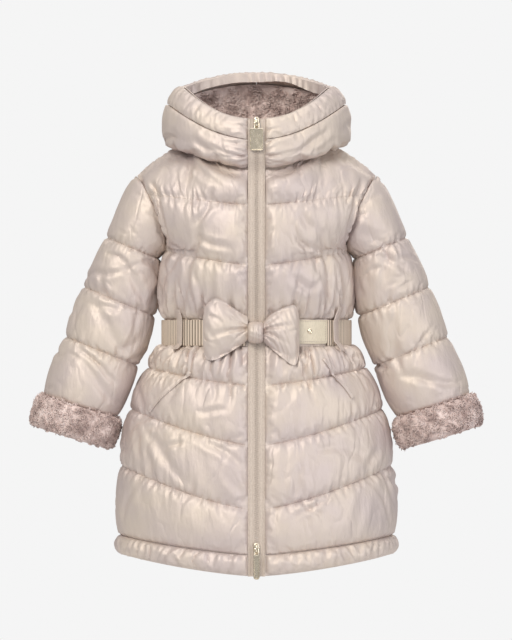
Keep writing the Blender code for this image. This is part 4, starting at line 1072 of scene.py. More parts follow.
def set_out_panels():
    made = []
    body = Vector((0, 0, -400))
    thirds, quarters = (1 / 3, 2 / 3), (0.25, 0.5, 0.75)
    for side, tag, seed in ((1, "left", 10), (-1, "right", 20)):
        made.append((panel(f"skirt_front_{tag}", skirt_surface(side), with_lumps(skirt_relief(side), seed),
                           steps(0, 1, count(235)), fine_rows(0, 4, count(70)), body, seams=(1, 2, 3),
                           creases=panel_creases(seed, quarters, waist=True, folds=14)),
                     (f"front_skirt_{tag}",)))
        made.append((panel(f"bodice_front_{tag}", bodice_front_surface(side),
                           with_lumps(bodice_front_relief(side), seed + 3),
                           steps(0, 1, count(175)), fine_rows(0, 3, count(78)), Vector((0, 0, -120)),
                           lean=bodice_lean(False), seams=(1, 2),
                           creases=panel_creases(seed + 3, thirds, waist=True, neck=True, folds=10)),
                     (f"front_bodice_{tag}",)))
        made.append((panel(f"sleeve_wall_{tag}", sleeve_surface(side), with_lumps(sleeve_full(side), seed + 5),
                           steps(0, 1, count(295)), fine_rows(0, 4, count(78)),
                           Vector((side * 187, 3, -191)), closed=True, lean=sleeve_lean(side),
                           seams=(1, 2, 3), creases=panel_creases(seed + 5, quarters, folds=26)),
                     (f"sleeve_{tag}",)))
        made.append((hood_side_panel(side, tag, seed + 7), (f"hood_{tag}",)))
        made.append((hood_band_panel(side, tag, seed + 9), (f"hood_band_{tag}",)))
        made.append((hem_panel(f"hem_casing_front_{tag}", side, seed + 11), (f"hem_front_{tag}",)))
    made.append((panel("skirt_back", skirt_back_surface, with_lumps(skirt_back_relief, 41),
                       steps(0, 1, count(470)), fine_rows(0, 4, count(66)), body, seams=(1, 2, 3),
                       creases=panel_creases(41, quarters, waist=True, folds=14)), ("back_skirt",)))
    made.append((panel("bodice_back", bodice_back_surface, with_lumps(bodice_back_relief, 43),
                       steps(0, 1, count(330)), fine_rows(0, 3, count(80)), Vector((0, 0, -120)),
                       lean=bodice_lean(True), seams=(1, 2),
                       creases=panel_creases(43, thirds, waist=True, neck=True, folds=8)),
                 ("back_bodice",)))
    made.append((hood_centre_panel(45), ("hood_centre",)))
    made.append((hem_panel("hem_casing_back", 0, 47), ("hem_back",)))
    return made


HOOD_SEAM_HIGH = 3.5    # the hood's padding runs on over its seam with the band, with a shallow line there


def hood_level(v):
    """The hood's padding from the neck (0) to the band's seam (3)."""
    rise = HOOD_PUFF * min(1.0, ease(v / 1.3)) * (1 - 0.35 * ease((v - 2.2) / 0.8))
    dip = math.exp(-(((3.0 - v) / 0.07) ** 2))
    return max(0.15, rise * (1 - dip) + HOOD_SEAM_HIGH * dip)


def hood_side_panel(side, tag, seed):
    def surface(u, v):
        point = hood_point(mix(hood_start(v), HOOD_CENTRE, u), v)
        return Vector((side * point.x, point.y, point.z))

    def relief(u, v):
        low = hood_level(v) * edge_fade(u, width=0.04)
        crease = crease_relief(HOOD_CREASES, side, u, v)
        return max(0.0, low + crease * edge_fade(u) * min(1.0, low / 3))

    def creases(length, rows):
        picked = random.Random(seed)
        out = []
        for _ in range(16):
            # small folds run back from the zip
            out.append((0.0, picked.uniform(0.1, 1.0) * rows[-1], math.pi / 2 + picked.gauss(0, 0.25),
                        picked.uniform(15, 60), picked.uniform(2.0, 4.0), picked.uniform(0.6, 1.8), True))
        for _ in range(9):
            out.append((picked.uniform(0.1, 0.9) * length, picked.uniform(0.1, 0.7) * rows[-1],
                        math.pi / 2 + picked.gauss(0, 0.5), picked.uniform(30, 80),
                        picked.uniform(3.5, 8.0), picked.uniform(1.5, 3.6), False))
        return out

    return panel(f"hood_side_{tag}", surface, with_lumps(relief, seed, 1.0), steps(0, 1, count(250)),
                 fine_rows(0, 3, count(33), 0.015), Vector((0, 5, 40)), creases=creases)


def hood_centre_panel(seed):
    trim = 0.003
    return panel("hood_middle",
                 lambda u, v: hood_point(mix(HOOD_CENTRE + trim, 2 * math.pi - HOOD_CENTRE - trim, u), v),
                 with_lumps(lambda u, v: hood_level(v) * edge_fade(u, width=0.1), seed),
                 steps(0, 1, count(165)), fine_rows(0, 3, count(33), 0.015), Vector((0, 5, 40)),
                 creases=panel_creases(seed, (), folds=5))


def hood_band_panel(side, tag, seed):
    start, end = hood_start(3.0), math.pi - 0.002

    def surface(u, v):
        level = mix(3.015, 4.0, v)
        point = hood_point(mix(hood_start(level), end, u), level)
        return Vector((side * point.x, point.y, point.z))

    def relief(u, v):
        dip = math.exp(-((v / 0.07) ** 2))
        over = max(0.0, 1 - max(0.0, (v - 0.55) / 0.45) ** 2) ** 0.5
        low = (HOOD_PUFF - 1.9) * over
        return (low * (1 - dip) + HOOD_SEAM_HIGH * dip) * edge_fade(u, width=0.02)

    def creases(length, rows):
        picked = random.Random(seed)
        out = []
        for _ in range(7):
            out.append((0.0, picked.uniform(0.1, 0.9) * rows[-1], math.pi / 2 + picked.gauss(0, 0.15),
                        picked.uniform(12, 40), picked.uniform(1.8, 3.0), picked.uniform(0.5, 1.3), True))
        x = 30.0
        while x < length:
            out.append((x, rows[-1], math.pi + picked.gauss(0, 0.3), picked.uniform(8, 26),
                        picked.uniform(2.0, 3.6), picked.uniform(0.5, 1.5) * (1.6 if x > 150 else 0.8), True))
            x += picked.uniform(6, 16)
        return out

    return panel(f"hood_brim_{tag}", surface, with_lumps(relief, seed, 0.7), steps(0, 1, count(330)),
                 steps(0, 1, count(46)), Vector((0, 5, 40)), creases=creases)


def hem_panel(name, side, seed):
    wide = HEM[0]["wide"]
    trim = SEAM_GAP / 2 / wide
    start, end = math.asin((ZIP_HALF + SEAM_GAP) / wide), math.pi / 2 - trim
    if side == 0:
        start, end = math.pi / 2 + trim, 1.5 * math.pi - trim

    def surface(u, v):
        point = ring_point(HEM, mix(start, end, u), v)
        return Vector(((side or 1) * point.x, point.y, point.z))

    def relief(u, v):
        bulge = max(0.0, 1 - (2 * v - 1) ** 2) ** 0.6
        return HEM_PUFF * bulge * edge_fade(u, width=0.03)

    def creases(length, rows):
        picked = random.Random(seed)
        out = []
        for at, way in ((0.0, 0.0), (rows[-1], math.pi)):
            x = picked.uniform(0, 6)
            while x < length:
                out.append((x, at, way + picked.gauss(0, 0.3), picked.uniform(10, 26),
                            picked.uniform(2.2, 4.2), picked.uniform(1.0, 3.2), True))
                x += picked.uniform(4, 13)
        return out

    length = 240 if side else 470
    return panel(name, surface, with_lumps(relief, seed, 1.2), steps(0, 1, count(length)),
                 steps(0, 1, count(42)), Vector((0, 0, -540)), creases=creases)


# Fur

def add_fur(name, surface, us, vs, seed, outward, nodes, pile, tufts, closed, flip=False, long=1.0):
    """A curly pile: a lumpy base wall with many small curled locks standing on it."""
    picked = random.Random(seed)
    base = panel(name, surface, pile, us, vs, outward, closed=closed, flip=flip)
    points = list(base["outer"].reshape(-1, 3))
    rows, columns = base["outer"].shape[:2]
    faces = grid_faces(rows, columns, closed)
    inner = base["middle"] + base["normals"] * SEAM_IN
    first = len(points)
    points += list(inner.reshape(-1, 3))
    faces += [tuple(reversed(f)) for f in grid_faces(rows, columns, closed, first)]
    for r in (0, rows - 1):
        for c in range(columns if closed else columns - 1):
            n = (c + 1) % columns
            faces.append((r * columns + c, r * columns + n, first + r * columns + n, first + r * columns + c))
    if not closed:
        for c in (0, columns - 1):
            for r in range(rows - 1):
                faces.append((r * columns + c, (r + 1) * columns + c,
                              first + (r + 1) * columns + c, first + r * columns + c))
    obj = add_mesh(name, points, faces, "fur")
    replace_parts(obj, *nodes)

    # locks turn round the middles of small clumps, so the pile lies in curls
    clumps = [(picked.uniform(0, rows - 1.001), picked.uniform(0, columns - 1.001), picked.choice((-1, 1)))
              for _ in range(tufts // 26)]
    spots = np.array([base["outer"][int(r), int(c)] for r, c, _ in clumps])
    hair_points, hair_faces = [], []
    for _ in range(tufts):
        r, c = picked.uniform(0, rows - 1.001), picked.uniform(0, columns - (0.001 if closed else 1.001))
        i, j = int(r), int(c) % columns
        n = (j + 1) % columns
        fr, fc = r - i, c - int(c)
        root = (base["outer"][i, j] * (1 - fr) * (1 - fc) + base["outer"][i + 1, j] * fr * (1 - fc)
                + base["outer"][i, n] * (1 - fr) * fc + base["outer"][i + 1, n] * fr * fc)
        out = Vector(base["normals"][i, j])
        nearest = int(np.argmin(((spots - root) ** 2).sum(axis=1)))
        away = Vector(root - spots[nearest])
        distance = min(1.0, away.length / 5.0)
        away = (away - out * away.dot(out))
        away = away.normalized() if away.length > 1e-3 else out.orthogonal().normalized()
        swirl = out.cross(away) * clumps[nearest][2]
        loose = Vector((picked.gauss(0, 0.25), picked.gauss(0, 0.25), picked.gauss(0, 0.25) - 0.1))
        ahead = (out * (0.95 - 0.45 * distance) + swirl * (0.5 + 0.5 * distance) - away * 0.15 + loose).normalized()
        axis = ahead.cross(away * -1 if abs(ahead.dot(away)) < 0.95 else swirl).normalized()
        step = picked.uniform(1.4, 2.3) * long
        width = picked.uniform(0.6, 1.05)
        spot = Vector(root) - out * 0.8
        start = len(hair_points)
        for k in range(4):
            size = width * (1.0, 1.15, 0.85, 0.25)[k]
            across = ahead.cross(axis).normalized()
            for turn in (0.0, 2.094, 4.189):
                hair_points.append(spot + (axis * math.cos(turn) + across * math.sin(turn)) * size)
            spot = spot + ahead * step
            spin = picked.uniform(0.45, 0.8)
            ahead = (ahead * math.cos(spin) + axis.cross(ahead) * math.sin(spin)).normalized()
        for k in range(3):
            for t in range(3):
                a, b = start + 3 * k + t, start + 3 * k + (t + 1) % 3
                hair_faces.append((a, b, b + 3, a + 3))
        hair_faces.append((start + 9, start + 10, start + 11))
    return add_mesh(name + "_curls", hair_points, hair_faces, "fur", sharp=None)


def lumpy(seed, height, edge_v, size):
    lump = wobble(seed, 1.0)
    picked = random.Random(seed)
    cells = [(picked.random(), picked.random(), picked.uniform(0.5, 1.0)) for _ in range(size)]

    def at(u, v):
        near = min(((u - a + 0.5) % 1.0 - 0.5) ** 2 * 900 + (v - b) ** 2 * 18 for a, b, _ in cells)
        rise = max(0.0, 1 - (2 * v - 1) ** 2) ** edge_v
        return height * rise * (0.72 + 0.28 * math.exp(-near) + 0.06 * lump(u, v))
    return at


def build_fur():
    row = SLEEVE[-1]
    tilt = math.radians(row["tilt"])
    down = Vector((math.sin(tilt) * 0.9, -0.10, -math.cos(tilt))).normalized()
    centre = Vector((row["x"], row["y"], row["z"]))
    for side, tag, seed in ((1, "left", 61), (-1, "right", 62)):
        def surface(u, v, side=side):
            ring = sleeve_section(len(SLEEVE), 2 * math.pi * (u % 1.0))
            point = ring + (ring - centre).normalized() * CUFF_OUT + down * (SEAM_GAP + 0.3 + v * CUFF_LENGTH)
            return Vector((side * point.x, point.y, point.z))

        add_fur(f"fur_cuff_{tag}", surface, steps(0, 1, 90), steps(0, 1, 14), seed,
                Vector((side * row["x"], row["y"], row["z"] - 20)), (f"cuff_{tag}",),
                lumpy(seed, FUR_PILE - 1.5, 0.45, 90), 6200, True)
    add_fur("fur_lining", lining_surface, steps(0, 1, 150), steps(0, 1, 24), 63,
            Vector((0, 8, 60)), ("hood_lining",),
            lambda u, v, f=lumpy(63, 6.0, 0.30, 160): f(u, v) * edge_fade(u, width=0.04),
            9400, False, flip=True, long=1.35)



# Thin pieces

def covering(objects):
    """What lies under a piece, to be asked where its outside is."""
    points, faces = [], []
    for obj in objects:
        first = len(points)
        points += [v.co / MM for v in obj.data.vertices]
        faces += [[first + i for i in p.vertices] for p in obj.data.polygons]
    return BVHTree.FromPolygons(points, faces)


def wall(name, middle, normals, half, kind, nodes, closed=False):
    """A thin piece of even thickness over a grid of points, closed round its edges."""
    rows, columns = middle.shape[:2]
    half = np.broadcast_to(np.asarray(half, float), (rows, columns))[..., None]
    points = list((middle + normals * half).reshape(-1, 3)) + list((middle - normals * half).reshape(-1, 3))
    first = rows * columns
    faces = grid_faces(rows, columns, closed) + grid_faces(rows, columns, closed, first)
    for r in (0, rows - 1):
        for c in range(columns if closed else columns - 1):
            n = (c + 1) % columns
            faces.append((r * columns + c, r * columns + n, first + r * columns + n, first + r * columns + c))
    if not closed:
        for c in (0, columns - 1):
            for r in range(rows - 1):
                a, b = r * columns + c, (r + 1) * columns + c
                faces.append((a, b, first + b, first + a))
    obj = add_mesh(name, points, faces, kind)
    if nodes:
        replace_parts(obj, *nodes)
    return obj


def outward_normals(middle, centre):
    normals = grid_normals(middle, 1.0, False)
    r, c = middle.shape[0] // 2, middle.shape[1] // 2
    if np.dot(normals[r, c], middle[r, c] - np.array(centre)) < 0:
        normals = -normals
    return normals


CASING_MIDDLE = -233.0
CASING_REACH = 1.35


def build_waistband():
    wide = WAIST[0]["wide"]
    start = math.asin((ZIP_HALF + SEAM_GAP) / wide)
    us, vs = steps(0, 1, 260), steps(0, 1, 6)
    middle = grid_points(lambda u, v: ring_point(WAIST, mix(start, 2 * math.pi - start, u), v), us, vs)
    # the casing runs up and down inside the gathered edges that it holds
    middle[..., 2] = CASING_MIDDLE + (middle[..., 2] - CASING_MIDDLE) * CASING_REACH
    normals = outward_normals(middle, (0, 0, -234))
    ripple = np.array([0.45 * math.sin(2 * math.pi * 60 * (u + 0.004 * math.sin(40 * u))) for u in us])
    fade = np.array([math.sin(math.pi * v) for v in vs])
    middle = middle + normals * (ripple[None, :] * fade[:, None])[..., None]
    band = wall("waist_casing", middle, normals, 1.2, "shell", ("waistband",))


def build_facing():
    """The strip of shell cloth inside the rim, gathered by an elastic over the fur."""
    start = hood_start(4.0) + 0.02
    picked = random.Random(5)
    us = steps(0, 1, 300)
    phase = np.cumsum([picked.uniform(0.2, 1.8) for _ in range(20)])
    phase = np.interp(np.linspace(0, 19, len(us)), range(20), phase) / phase[-1] * 2 * math.pi * 38
    uneven = wobble(7, 1.0)
    vs = steps(0, 1, 6)

    def surface(u, v):
        rim = hood_point(mix(start, 2 * math.pi - start, u), 4.0)
        inward = Vector((-rim.x, NECK_SIDE_Y - rim.y, 0)).normalized()
        return rim + inward * (4.1 + 0.8 * v) + Vector((0, 0, mix(-0.5, -FACING_DROP * (0.90 + 0.22 * uneven(u, 0.3)), v)))

    middle = grid_points(surface, us, vs)
    normals = outward_normals(middle, (0, NECK_SIDE_Y, 90))
    fold = np.array([[1.1 * math.sin(a + 0.8 * v) * (0.25 + 0.75 * v) for a in phase] for v in vs])
    middle = middle + normals * fold[..., None]
    strip = wall("rim_facing", middle, normals, 0.7, "shell", ("hood_facing",))


# Zip

def line_frames(line):
    """Along and outward directions at each point of the front line."""
    frames = []
    for k, p in enumerate(line):
        along = (line[min(k + 1, len(line) - 1)] - line[max(k - 1, 0)]).normalized()
        frames.append((p, along, Vector((0, -along.z, along.y))))
    return frames


def even_line(line, spacing):
    """The same line with points at an even spacing."""
    out, left = [line[0].copy()], spacing
    for a, b in zip(line, line[1:]):
        length = (b - a).length
        at = left
        while at <= length:
            out.append(a.lerp(b, at / length))
            at += spacing
        left = at - length
    return out


def swept(name, line, section, kind, nodes):
    points, faces = [], []
    count = len(section)
    for p, _, out in line_frames(line):
        for x, height in section:
            points.append(Vector((x, p.y, p.z)) + out * height)
    for k in range(len(line) - 1):
        for j in range(count):
            a, b = k * count + j, k * count + (j + 1) % count
            faces.append((a, b, b + count, a + count))
    faces.append(tuple(range(count)))
    faces.append(tuple(range((len(line) - 1) * count, len(line) * count)))
    obj = add_mesh(name, points, faces, kind)
    if nodes:
        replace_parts(obj, *nodes)
    return obj


def box_faces(first):
    quads = ((0, 1, 2, 3), (7, 6, 5, 4), (0, 4, 5, 1), (1, 5, 6, 2), (2, 6, 7, 3), (3, 7, 4, 0))
    return [tuple(first + i for i in q) for q in quads]


def stitches(name, runs, kind="thread", length=2.6, gap=1.1, wide=0.34, high=0.36):
    """Thread dashes along polylines of (place, outward) pairs."""
    points, faces = [], []
    for run in runs:
        total = 0.0
        next_at = gap / 2
        spots = []
        for (a, na), (b, nb) in zip(run, run[1:]):
            span = (b - a).length
            if span < 1e-6:
                continue
            while next_at <= total + span:
                t = (next_at - total) / span
                spots.append((a.lerp(b, t), (b - a) / span, na.lerp(nb, t).normalized()))
                next_at += length + gap
            total += span
        for place, along, out in spots:
            side = along.cross(out).normalized() * wide
            ahead = along * length / 2
            first = len(points)
            for end, size in ((-1, 0.55), (-0.55, 1.0), (0.55, 1.0), (1, 0.55)):
                middle = place + ahead * end
                points += [middle - side * size - out * 0.25, middle + side * size - out * 0.25,
                           middle + side * size * 0.6 + out * high * size,
                           middle - side * size * 0.6 + out * high * size]
            for k in range(3):
                for j in range(4):
                    a, b = first + 4 * k + j, first + 4 * k + (j + 1) % 4
                    faces.append((a, b, b + 4, a + 4))
            faces.append(tuple(range(first, first + 4)))
            faces.append(tuple(range(first + 12, first + 16)))
    return add_mesh(name, points, faces, kind, sharp=None)


def build_zip():
    line = centre_path()
    fine = even_line(line, 3.0)
    inner = CHAIN_HALF - 1.7
    half = TAPE_THICK / 2
    for side, tag in ((1, "left"), (-1, "right")):
        section = [(inner, -half), (ZIP_HALF, -half), (ZIP_HALF, half), (9.6, half), (9.2, half + 0.35),
                   (8.2, half + 0.35), (7.8, half), (5.6, half), (5.2, half + 0.25), (4.4, half + 0.25),
                   (4.0, half), (inner, half)]
        tape = swept(f"tape_{tag}", fine, [(side * x, h) for x, h in section], "tape", (f"zip_tape_{tag}",))
        length = sum((b - a).length for a, b in zip(fine, fine[1:]))
    frames = line_frames(even_line(line[1:], 1.5))
    points, faces = [], []
    for k, (p, along, out) in enumerate(frames[1:-1]):
        side = 1 if k % 2 else -1
        base = Vector((0, p.y, p.z))
        first = len(points)
        for depth, grow in ((-0.9, 0.9), (1.5, 1.0)):
            for x, up in ((side * CHAIN_HALF, -0.55), (side * CHAIN_HALF, 0.55),
                          (-side * 0.7, 0.72), (-side * 0.7, -0.72)):
                points.append(base + Vector((x * grow, 0, 0)) + along * up * grow + out * depth)
        faces += box_faces(first)
    teeth = add_mesh("chain_teeth", points, faces, "coil")
    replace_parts(teeth, "zip_chain")
    runs = []
    for x in (-10.4, -8.7, -4.8, 4.8, 8.7, 10.4):
        height = half + (0.33 if abs(x) < 10 else 0.02)
        runs.append([(Vector((x, p.y, p.z)) + out * height, out) for p, _, out in line_frames(fine)])
    stitches("tape_stitching", runs, "tape", length=2.2, gap=1.0, wide=0.3, high=0.3)
    build_sliders(line)


def loop_solid(loops):
    """Faces between matching loops of points, with both ends closed."""
    points, faces = [], []
    count = len(loops[0])
    for loop in loops:
        points += loop
    for k in range(len(loops) - 1):
        for j in range(count):
            a, b = k * count + j, k * count + (j + 1) % count
            faces.append((a, b, b + count, a + count))
    faces.append(tuple(range(count)))
    faces.append(tuple(range((len(loops) - 1) * count, len(loops) * count)))
    return points, faces


def rounded_outline(half_wide, top, bottom, radius_top, radius_low, inset):
    """A plate's outline with round corners, as (a, b) places, moved in by inset."""
    corners = ((half_wide, top, radius_top, 0), (-half_wide, top, radius_top, 90),
               (-half_wide, bottom, radius_low, 180), (half_wide, bottom, radius_low, 270))
    out = []
    for x, z, radius, first in corners:
        cx = x - math.copysign(radius, x)
        cz = z - radius if z == top else z + radius
        for k in range(7):
            turn = math.radians(first + 15 * k)
            size = max(radius - inset, 0.05)
            out.append((cx + size * math.cos(turn), cz + size * math.sin(turn)))
    return out


PLATE_STEPS = ((2.2, 0.45), (1.7, 0.5), (1.35, 0.95), (0.55, 1.05), (0.12, 0.75), (0.0, 0.0), (0.12, -0.6),
               (0.5, -0.85))


def ring_bar(centre, wide, top, bottom, thick, radius):
    """A bent wire frame through the slider's bridge: a rounded rectangle swept by a round section."""
    path = rounded_outline(wide, top, bottom, radius, radius, 0.0)
    points, faces = [], []
    count = 8
    size = len(path)
    for k, (a, b) in enumerate(path):
        before, after = path[k - 1], path[(k + 1) % size]
        along = Vector((after[0] - before[0], 0, after[1] - before[1])).normalized()
        side = Vector((along.z, 0, -along.x))
        for j in range(count):
            turn = 2 * math.pi * j / count
            points.append(centre + Vector((a, 0, b)) + side * thick * math.cos(turn)
                          + Vector((0, thick * math.sin(turn), 0)))
    for k in range(size):
        for j in range(count):
            a, b = k * count + j, k * count + (j + 1) % count
            c, d = (k + 1) % size * count + j, (k + 1) % size * count + (j + 1) % count
            faces.append((a, b, d, c))
    return points, faces


def build_sliders(line):
    for row in SLIDERS:
        near = [path_depth(line, row["z"] + dz) for dz in (-8, -4, 0, 4, 8)]
        back = min(near) - CHAIN_HIGH - SEAM_GAP - 0.2
        pin = Vector((0, back - PIVOT_OUT, row["z"]))
        # the slider's body: a plate with round shoulders, wider at the top
        loops = []
        for inset, out in ((0.6, 0.0), (0.0, 0.35), (0.0, 1.6), (0.5, 2.2), (1.4, 2.5)):
            shape = rounded_outline(row["half"], 7.5, -7.5, 2.6, 1.6, inset)
            loops.append([Vector((a * (1 - 0.02 * (7.5 - b) * (row["name"] == "top")), back - out,
                                  row["z"] + b)) for a, b in shape])
        points, faces = loop_solid(loops)
        # the bridge over the pin
        arch = [(2.3, 6.0), (4.6, 5.2), (6.4, 3.2), (7.0, 0), (6.4, -3.2), (4.6, -5.2), (2.3, -6.0)]
        low = [(2.3, 4.4), (3.7, 3.7), (5.1, 2.3), (5.6, 0), (5.1, -2.3), (3.7, -3.7), (2.3, -4.4)]
        first = len(points)
        wide = row["bridge"] * 0.9
        for loop in (arch, low):
            for w in (-wide, wide):
                points += [Vector((w, back - a, row["z"] + b)) for a, b in loop]
        n = len(arch)
        for j in range(n - 1):
            o1, o2, i1, i2 = (first + k * n + j for k in range(4))
            faces += [(o1, o1 + 1, o2 + 1, o2), (i1, i2, i2 + 1, i1 + 1),
                      (o1, i1, i1 + 1, o1 + 1), (o2, o2 + 1, i2 + 1, i2)]
        faces += [(first, first + n, first + 3 * n, first + 2 * n),
                  (first + n - 1, first + 2 * n - 1, first + 4 * n - 1, first + 3 * n - 1)]
        slider = add_mesh(f"slider_{row['name']}", points, faces, "metal", sharp=35)
        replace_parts(slider, f"zip_slider_{row['name']}")
        # the pull: a bent wire frame at the pin and a bare plate with a raised border
        top, bottom = -7.6, -row["drop"]
        plate = [[pin + Vector((a, -out, b)) for a, b in
                  rounded_outline(row["plate"], top, bottom, 1.4, min(3.4, row["plate"] - 0.4), inset)]
                 for inset, out in PLATE_STEPS]
        points, faces = loop_solid(plate)
        ring, ring_faces = ring_bar(pin, row["neck"] - 1.0, 0.0, -8.6, 0.8, 1.2)
        faces += [tuple(len(points) + i for i in f) for f in ring_faces]
        points += ring
        pull = add_mesh(f"pull_{row['name']}", points, faces, "metal", body=f"{row['name']}_pull", sharp=35)
        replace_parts(pull, f"zip_pull_{row['name']}")


# Belt

def build_belt():
    start, end = math.asin(94.5 / 127), 2 * math.pi - math.radians(6.5)
    us = steps(0, 1, 1180)
    vs = steps(0, 1, 9)
    ribs = 136

    def edge(u, v):
        scallop = 0.8 * math.sin(2 * math.pi * ribs / 2 * u) + 0.5 * math.sin(31 * u)
        return mix(BELT_TOP, BELT_BOTTOM, v) + scallop * (2 * v - 1)

    middle = grid_points(lambda u, v: belt_surface(mix(start, end, u), edge(u, v)), us, vs)
    normals = outward_normals(middle, (0, 0, -233))
    half = np.array([[0.3 + 1.6 * abs(math.sin(math.pi * ribs * u)) ** 0.6 - 0.2 * (abs(2 * v - 1) > 0.98)
                      for u in us] for v in vs])
    belt = wall("belt_elastic", middle, normals, half, "elastic", ("belt",))
    # each point's rib height, which the elastic's material turns into painted shade in the grooves
    shade = [abs(math.sin(math.pi * ribs * u)) for _ in vs for u in us]
    belt.data.attributes.new("painted_groove_shade", "FLOAT", "POINT").data.foreach_set("value", shade + shade)

    first, last = math.radians(6.5), start - 0.3 / 127
    us, vs = steps(0, 1, 40), steps(0, 1, 10)

    def tab_edge(u, v):
        # the free end's corners are cut round
        near = min(1.0, (1 - u) / 0.035)
        low = mix(BELT_TOP, TAB_BOTTOM, v)
        centre = (BELT_TOP + TAB_BOTTOM) / 2
        return centre + (low - centre) * (0.90 + 0.10 * math.sqrt(max(0.0, 1 - (1 - near) ** 2)))

    middle = grid_points(lambda u, v: belt_surface(mix(first, last, u), tab_edge(u, v)), us, vs)
    normals = outward_normals(middle, (0, 0, -233))
    half = np.array([[1.35 - 0.35 * (abs(2 * v - 1) > 0.95) + 0.1 * math.sin(9 * u + 4 * v) for u in us]
                     for v in vs])
    tab = wall("strap_tab", middle, normals, half, "strap", ("belt_tab",))
    runs = []
    for v in (0.09, 0.91):
        runs.append([(belt_surface(mix(first, last, u), tab_edge(u, v)), u) for u in steps(0.0, 0.97, 50)])
    runs.append([(belt_surface(mix(first, last, 0.965), tab_edge(0.965, v)), 0.965) for v in steps(0.1, 0.9, 12)])
    runs.append([(belt_surface(mix(first, last, 0.10), tab_edge(0.10, v)), 0.10) for v in steps(0.1, 0.9, 12)])
    lifted = []
    for run in runs:
        places = []
        for p, _ in run:
            out = Vector((p.x / 124**2, p.y / 87**2, 0)).normalized()
            places.append((p + out * 1.42, out))
        lifted.append(places)
    stitches("tab_stitching", lifted, "thread", length=2.4, gap=0.9, wide=0.3, high=0.3)

    stud = belt_surface(math.asin(71 / 127), -231)
    deep = Vector((stud.x / 124**2, stud.y / 87**2, 0)).normalized()
    side = Vector((-deep.y, deep.x, 0))
    loops = []
    for radius, height in ((3.6, 0.0), (3.7, 0.5), (3.4, 0.95), (2.9, 1.05), (2.65, 0.85), (2.4, 1.2),
                           (1.7, 1.6), (0.8, 1.8)):
        loops.append([stud + deep * (1.3 + height) + side * radius * math.cos(t)
                      + Vector((0, 0, radius * math.sin(t))) for t in np.linspace(0, 2 * math.pi, 29)[:-1]])
    points, faces = loop_solid(loops)
    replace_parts(add_mesh("stud", points, faces, "metal", sharp=35), "belt_stud")


def build_belt_loops(tree):
    for row in LOOPS:
        angle = math.asin(row["x"] / 128)
        place = belt_surface(angle, -233)
        flat = Vector((place.x, place.y, 0)).normalized()
        across = Vector((-flat.y, flat.x, 0))
        heights = steps(row["top"], row["bottom"], 40)
        radii = []
        for z in heights:
            found = []
            for dz in (-4, -2, 0, 2, 4):
                for offset in (-LOOP_HALF, -3, 0, 3, LOOP_HALF):
                    hit = tree.ray_cast(flat * 400 + across * offset + Vector((0, 0, z + dz)), -flat)[0]
                    if hit:
                        found.append(hit.dot(flat))
            radii.append(max(found))
        for _ in range(3):
            radii = [radii[0], *[max(b, (a + 2 * b + c) / 4) for a, b, c in zip(radii, radii[1:], radii[2:])],
                     radii[-1]]
        offsets = [-LOOP_HALF, -LOOP_HALF + 0.5, -4.9, -4.4, -2.2, 0, 2.2, 4.4, 4.9, LOOP_HALF - 0.5, LOOP_HALF]
        swell = [0, 0.25, 0.1, 0.35, 0.7, 0.8, 0.7, 0.35, 0.1, 0.25, 0]
        middle = np.array([[(flat * (r + 1.3 + s * 0.5) + across * o + Vector((0, 0, z)))[:]
                            for o, s in zip(offsets, swell)] for z, r in zip(heights, radii)])
        normals = np.broadcast_to(np.array(flat[:]), middle.shape)
        strap = wall(f"strap_{row['name']}", middle, normals, 0.8, "shell", (row["name"],))
        runs = [[(flat * (r + 2.15) + across * o + Vector((0, 0, z)), flat) for z, r in zip(heights, radii)]
                for o in (-4.7, 4.7)]
        stitches(f"stitching_{row['name']}", runs, length=2.2, gap=1.0, wide=0.28, high=0.28)


# Bow

# Folds of the bow: (x, share of its height) ends in the loop, half width in mm and depth
BOW_FOLDS = {
    "bow_loop_right": (
        dict(x0=-13, t0=0.52, x1=-58, t1=0.40, half=5.0, depth=6.0),
        dict(x0=-13, t0=0.62, x1=-40, t1=0.80, half=3.2, depth=3.0),
        dict(x0=-13, t0=0.42, x1=-36, t1=0.16, half=3.0, depth=2.6),
        dict(x0=-62, t0=0.75, x1=-48, t1=0.62, half=3.6, depth=2.2),
        dict(x0=-68, t0=0.35, x1=-52, t1=0.24, half=3.4, depth=2.2),
    ),
    "bow_loop_left": (
        dict(x0=10, t0=0.58, x1=44, t1=0.66, half=4.2, depth=5.0),
        dict(x0=10, t0=0.45, x1=38, t1=0.34, half=4.2, depth=4.5),
        dict(x0=10, t0=0.30, x1=30, t1=0.12, half=3.0, depth=2.4),
        dict(x0=54, t0=0.60, x1=40, t1=0.52, half=3.6, depth=2.4),
        dict(x0=12, t0=0.75, x1=30, t1=0.88, half=3.0, depth=2.4),
    ),
    "bow_knot": (
        dict(x0=-6.0, t0=0.02, x1=-5.2, t1=0.98, half=1.5, depth=1.6),
        dict(x0=-1.4, t0=0.05, x1=-0.4, t1=0.98, half=1.6, depth=1.8),
        dict(x0=3.8, t0=0.02, x1=3.2, t1=0.95, half=1.5, depth=1.6),
    ),
}


def bow_fold(name, x, t, high):
    total = 0.0
    for row in BOW_FOLDS[name]:
        dx, dt = row["x1"] - row["x0"], (row["t1"] - row["t0"]) * high
        s = ((x - row["x0"]) * dx + (t - row["t0"]) * high * dt) / (dx * dx + dt * dt)
        s = min(1.0, max(0.0, s))
        off = math.hypot(x - row["x0"] - s * dx, (t - row["t0"]) * high - s * dt)
        total += row["depth"] * soft_trough(off, row["half"] * (0.7 + 0.8 * s)) * (1 - 0.75 * s)
    return total


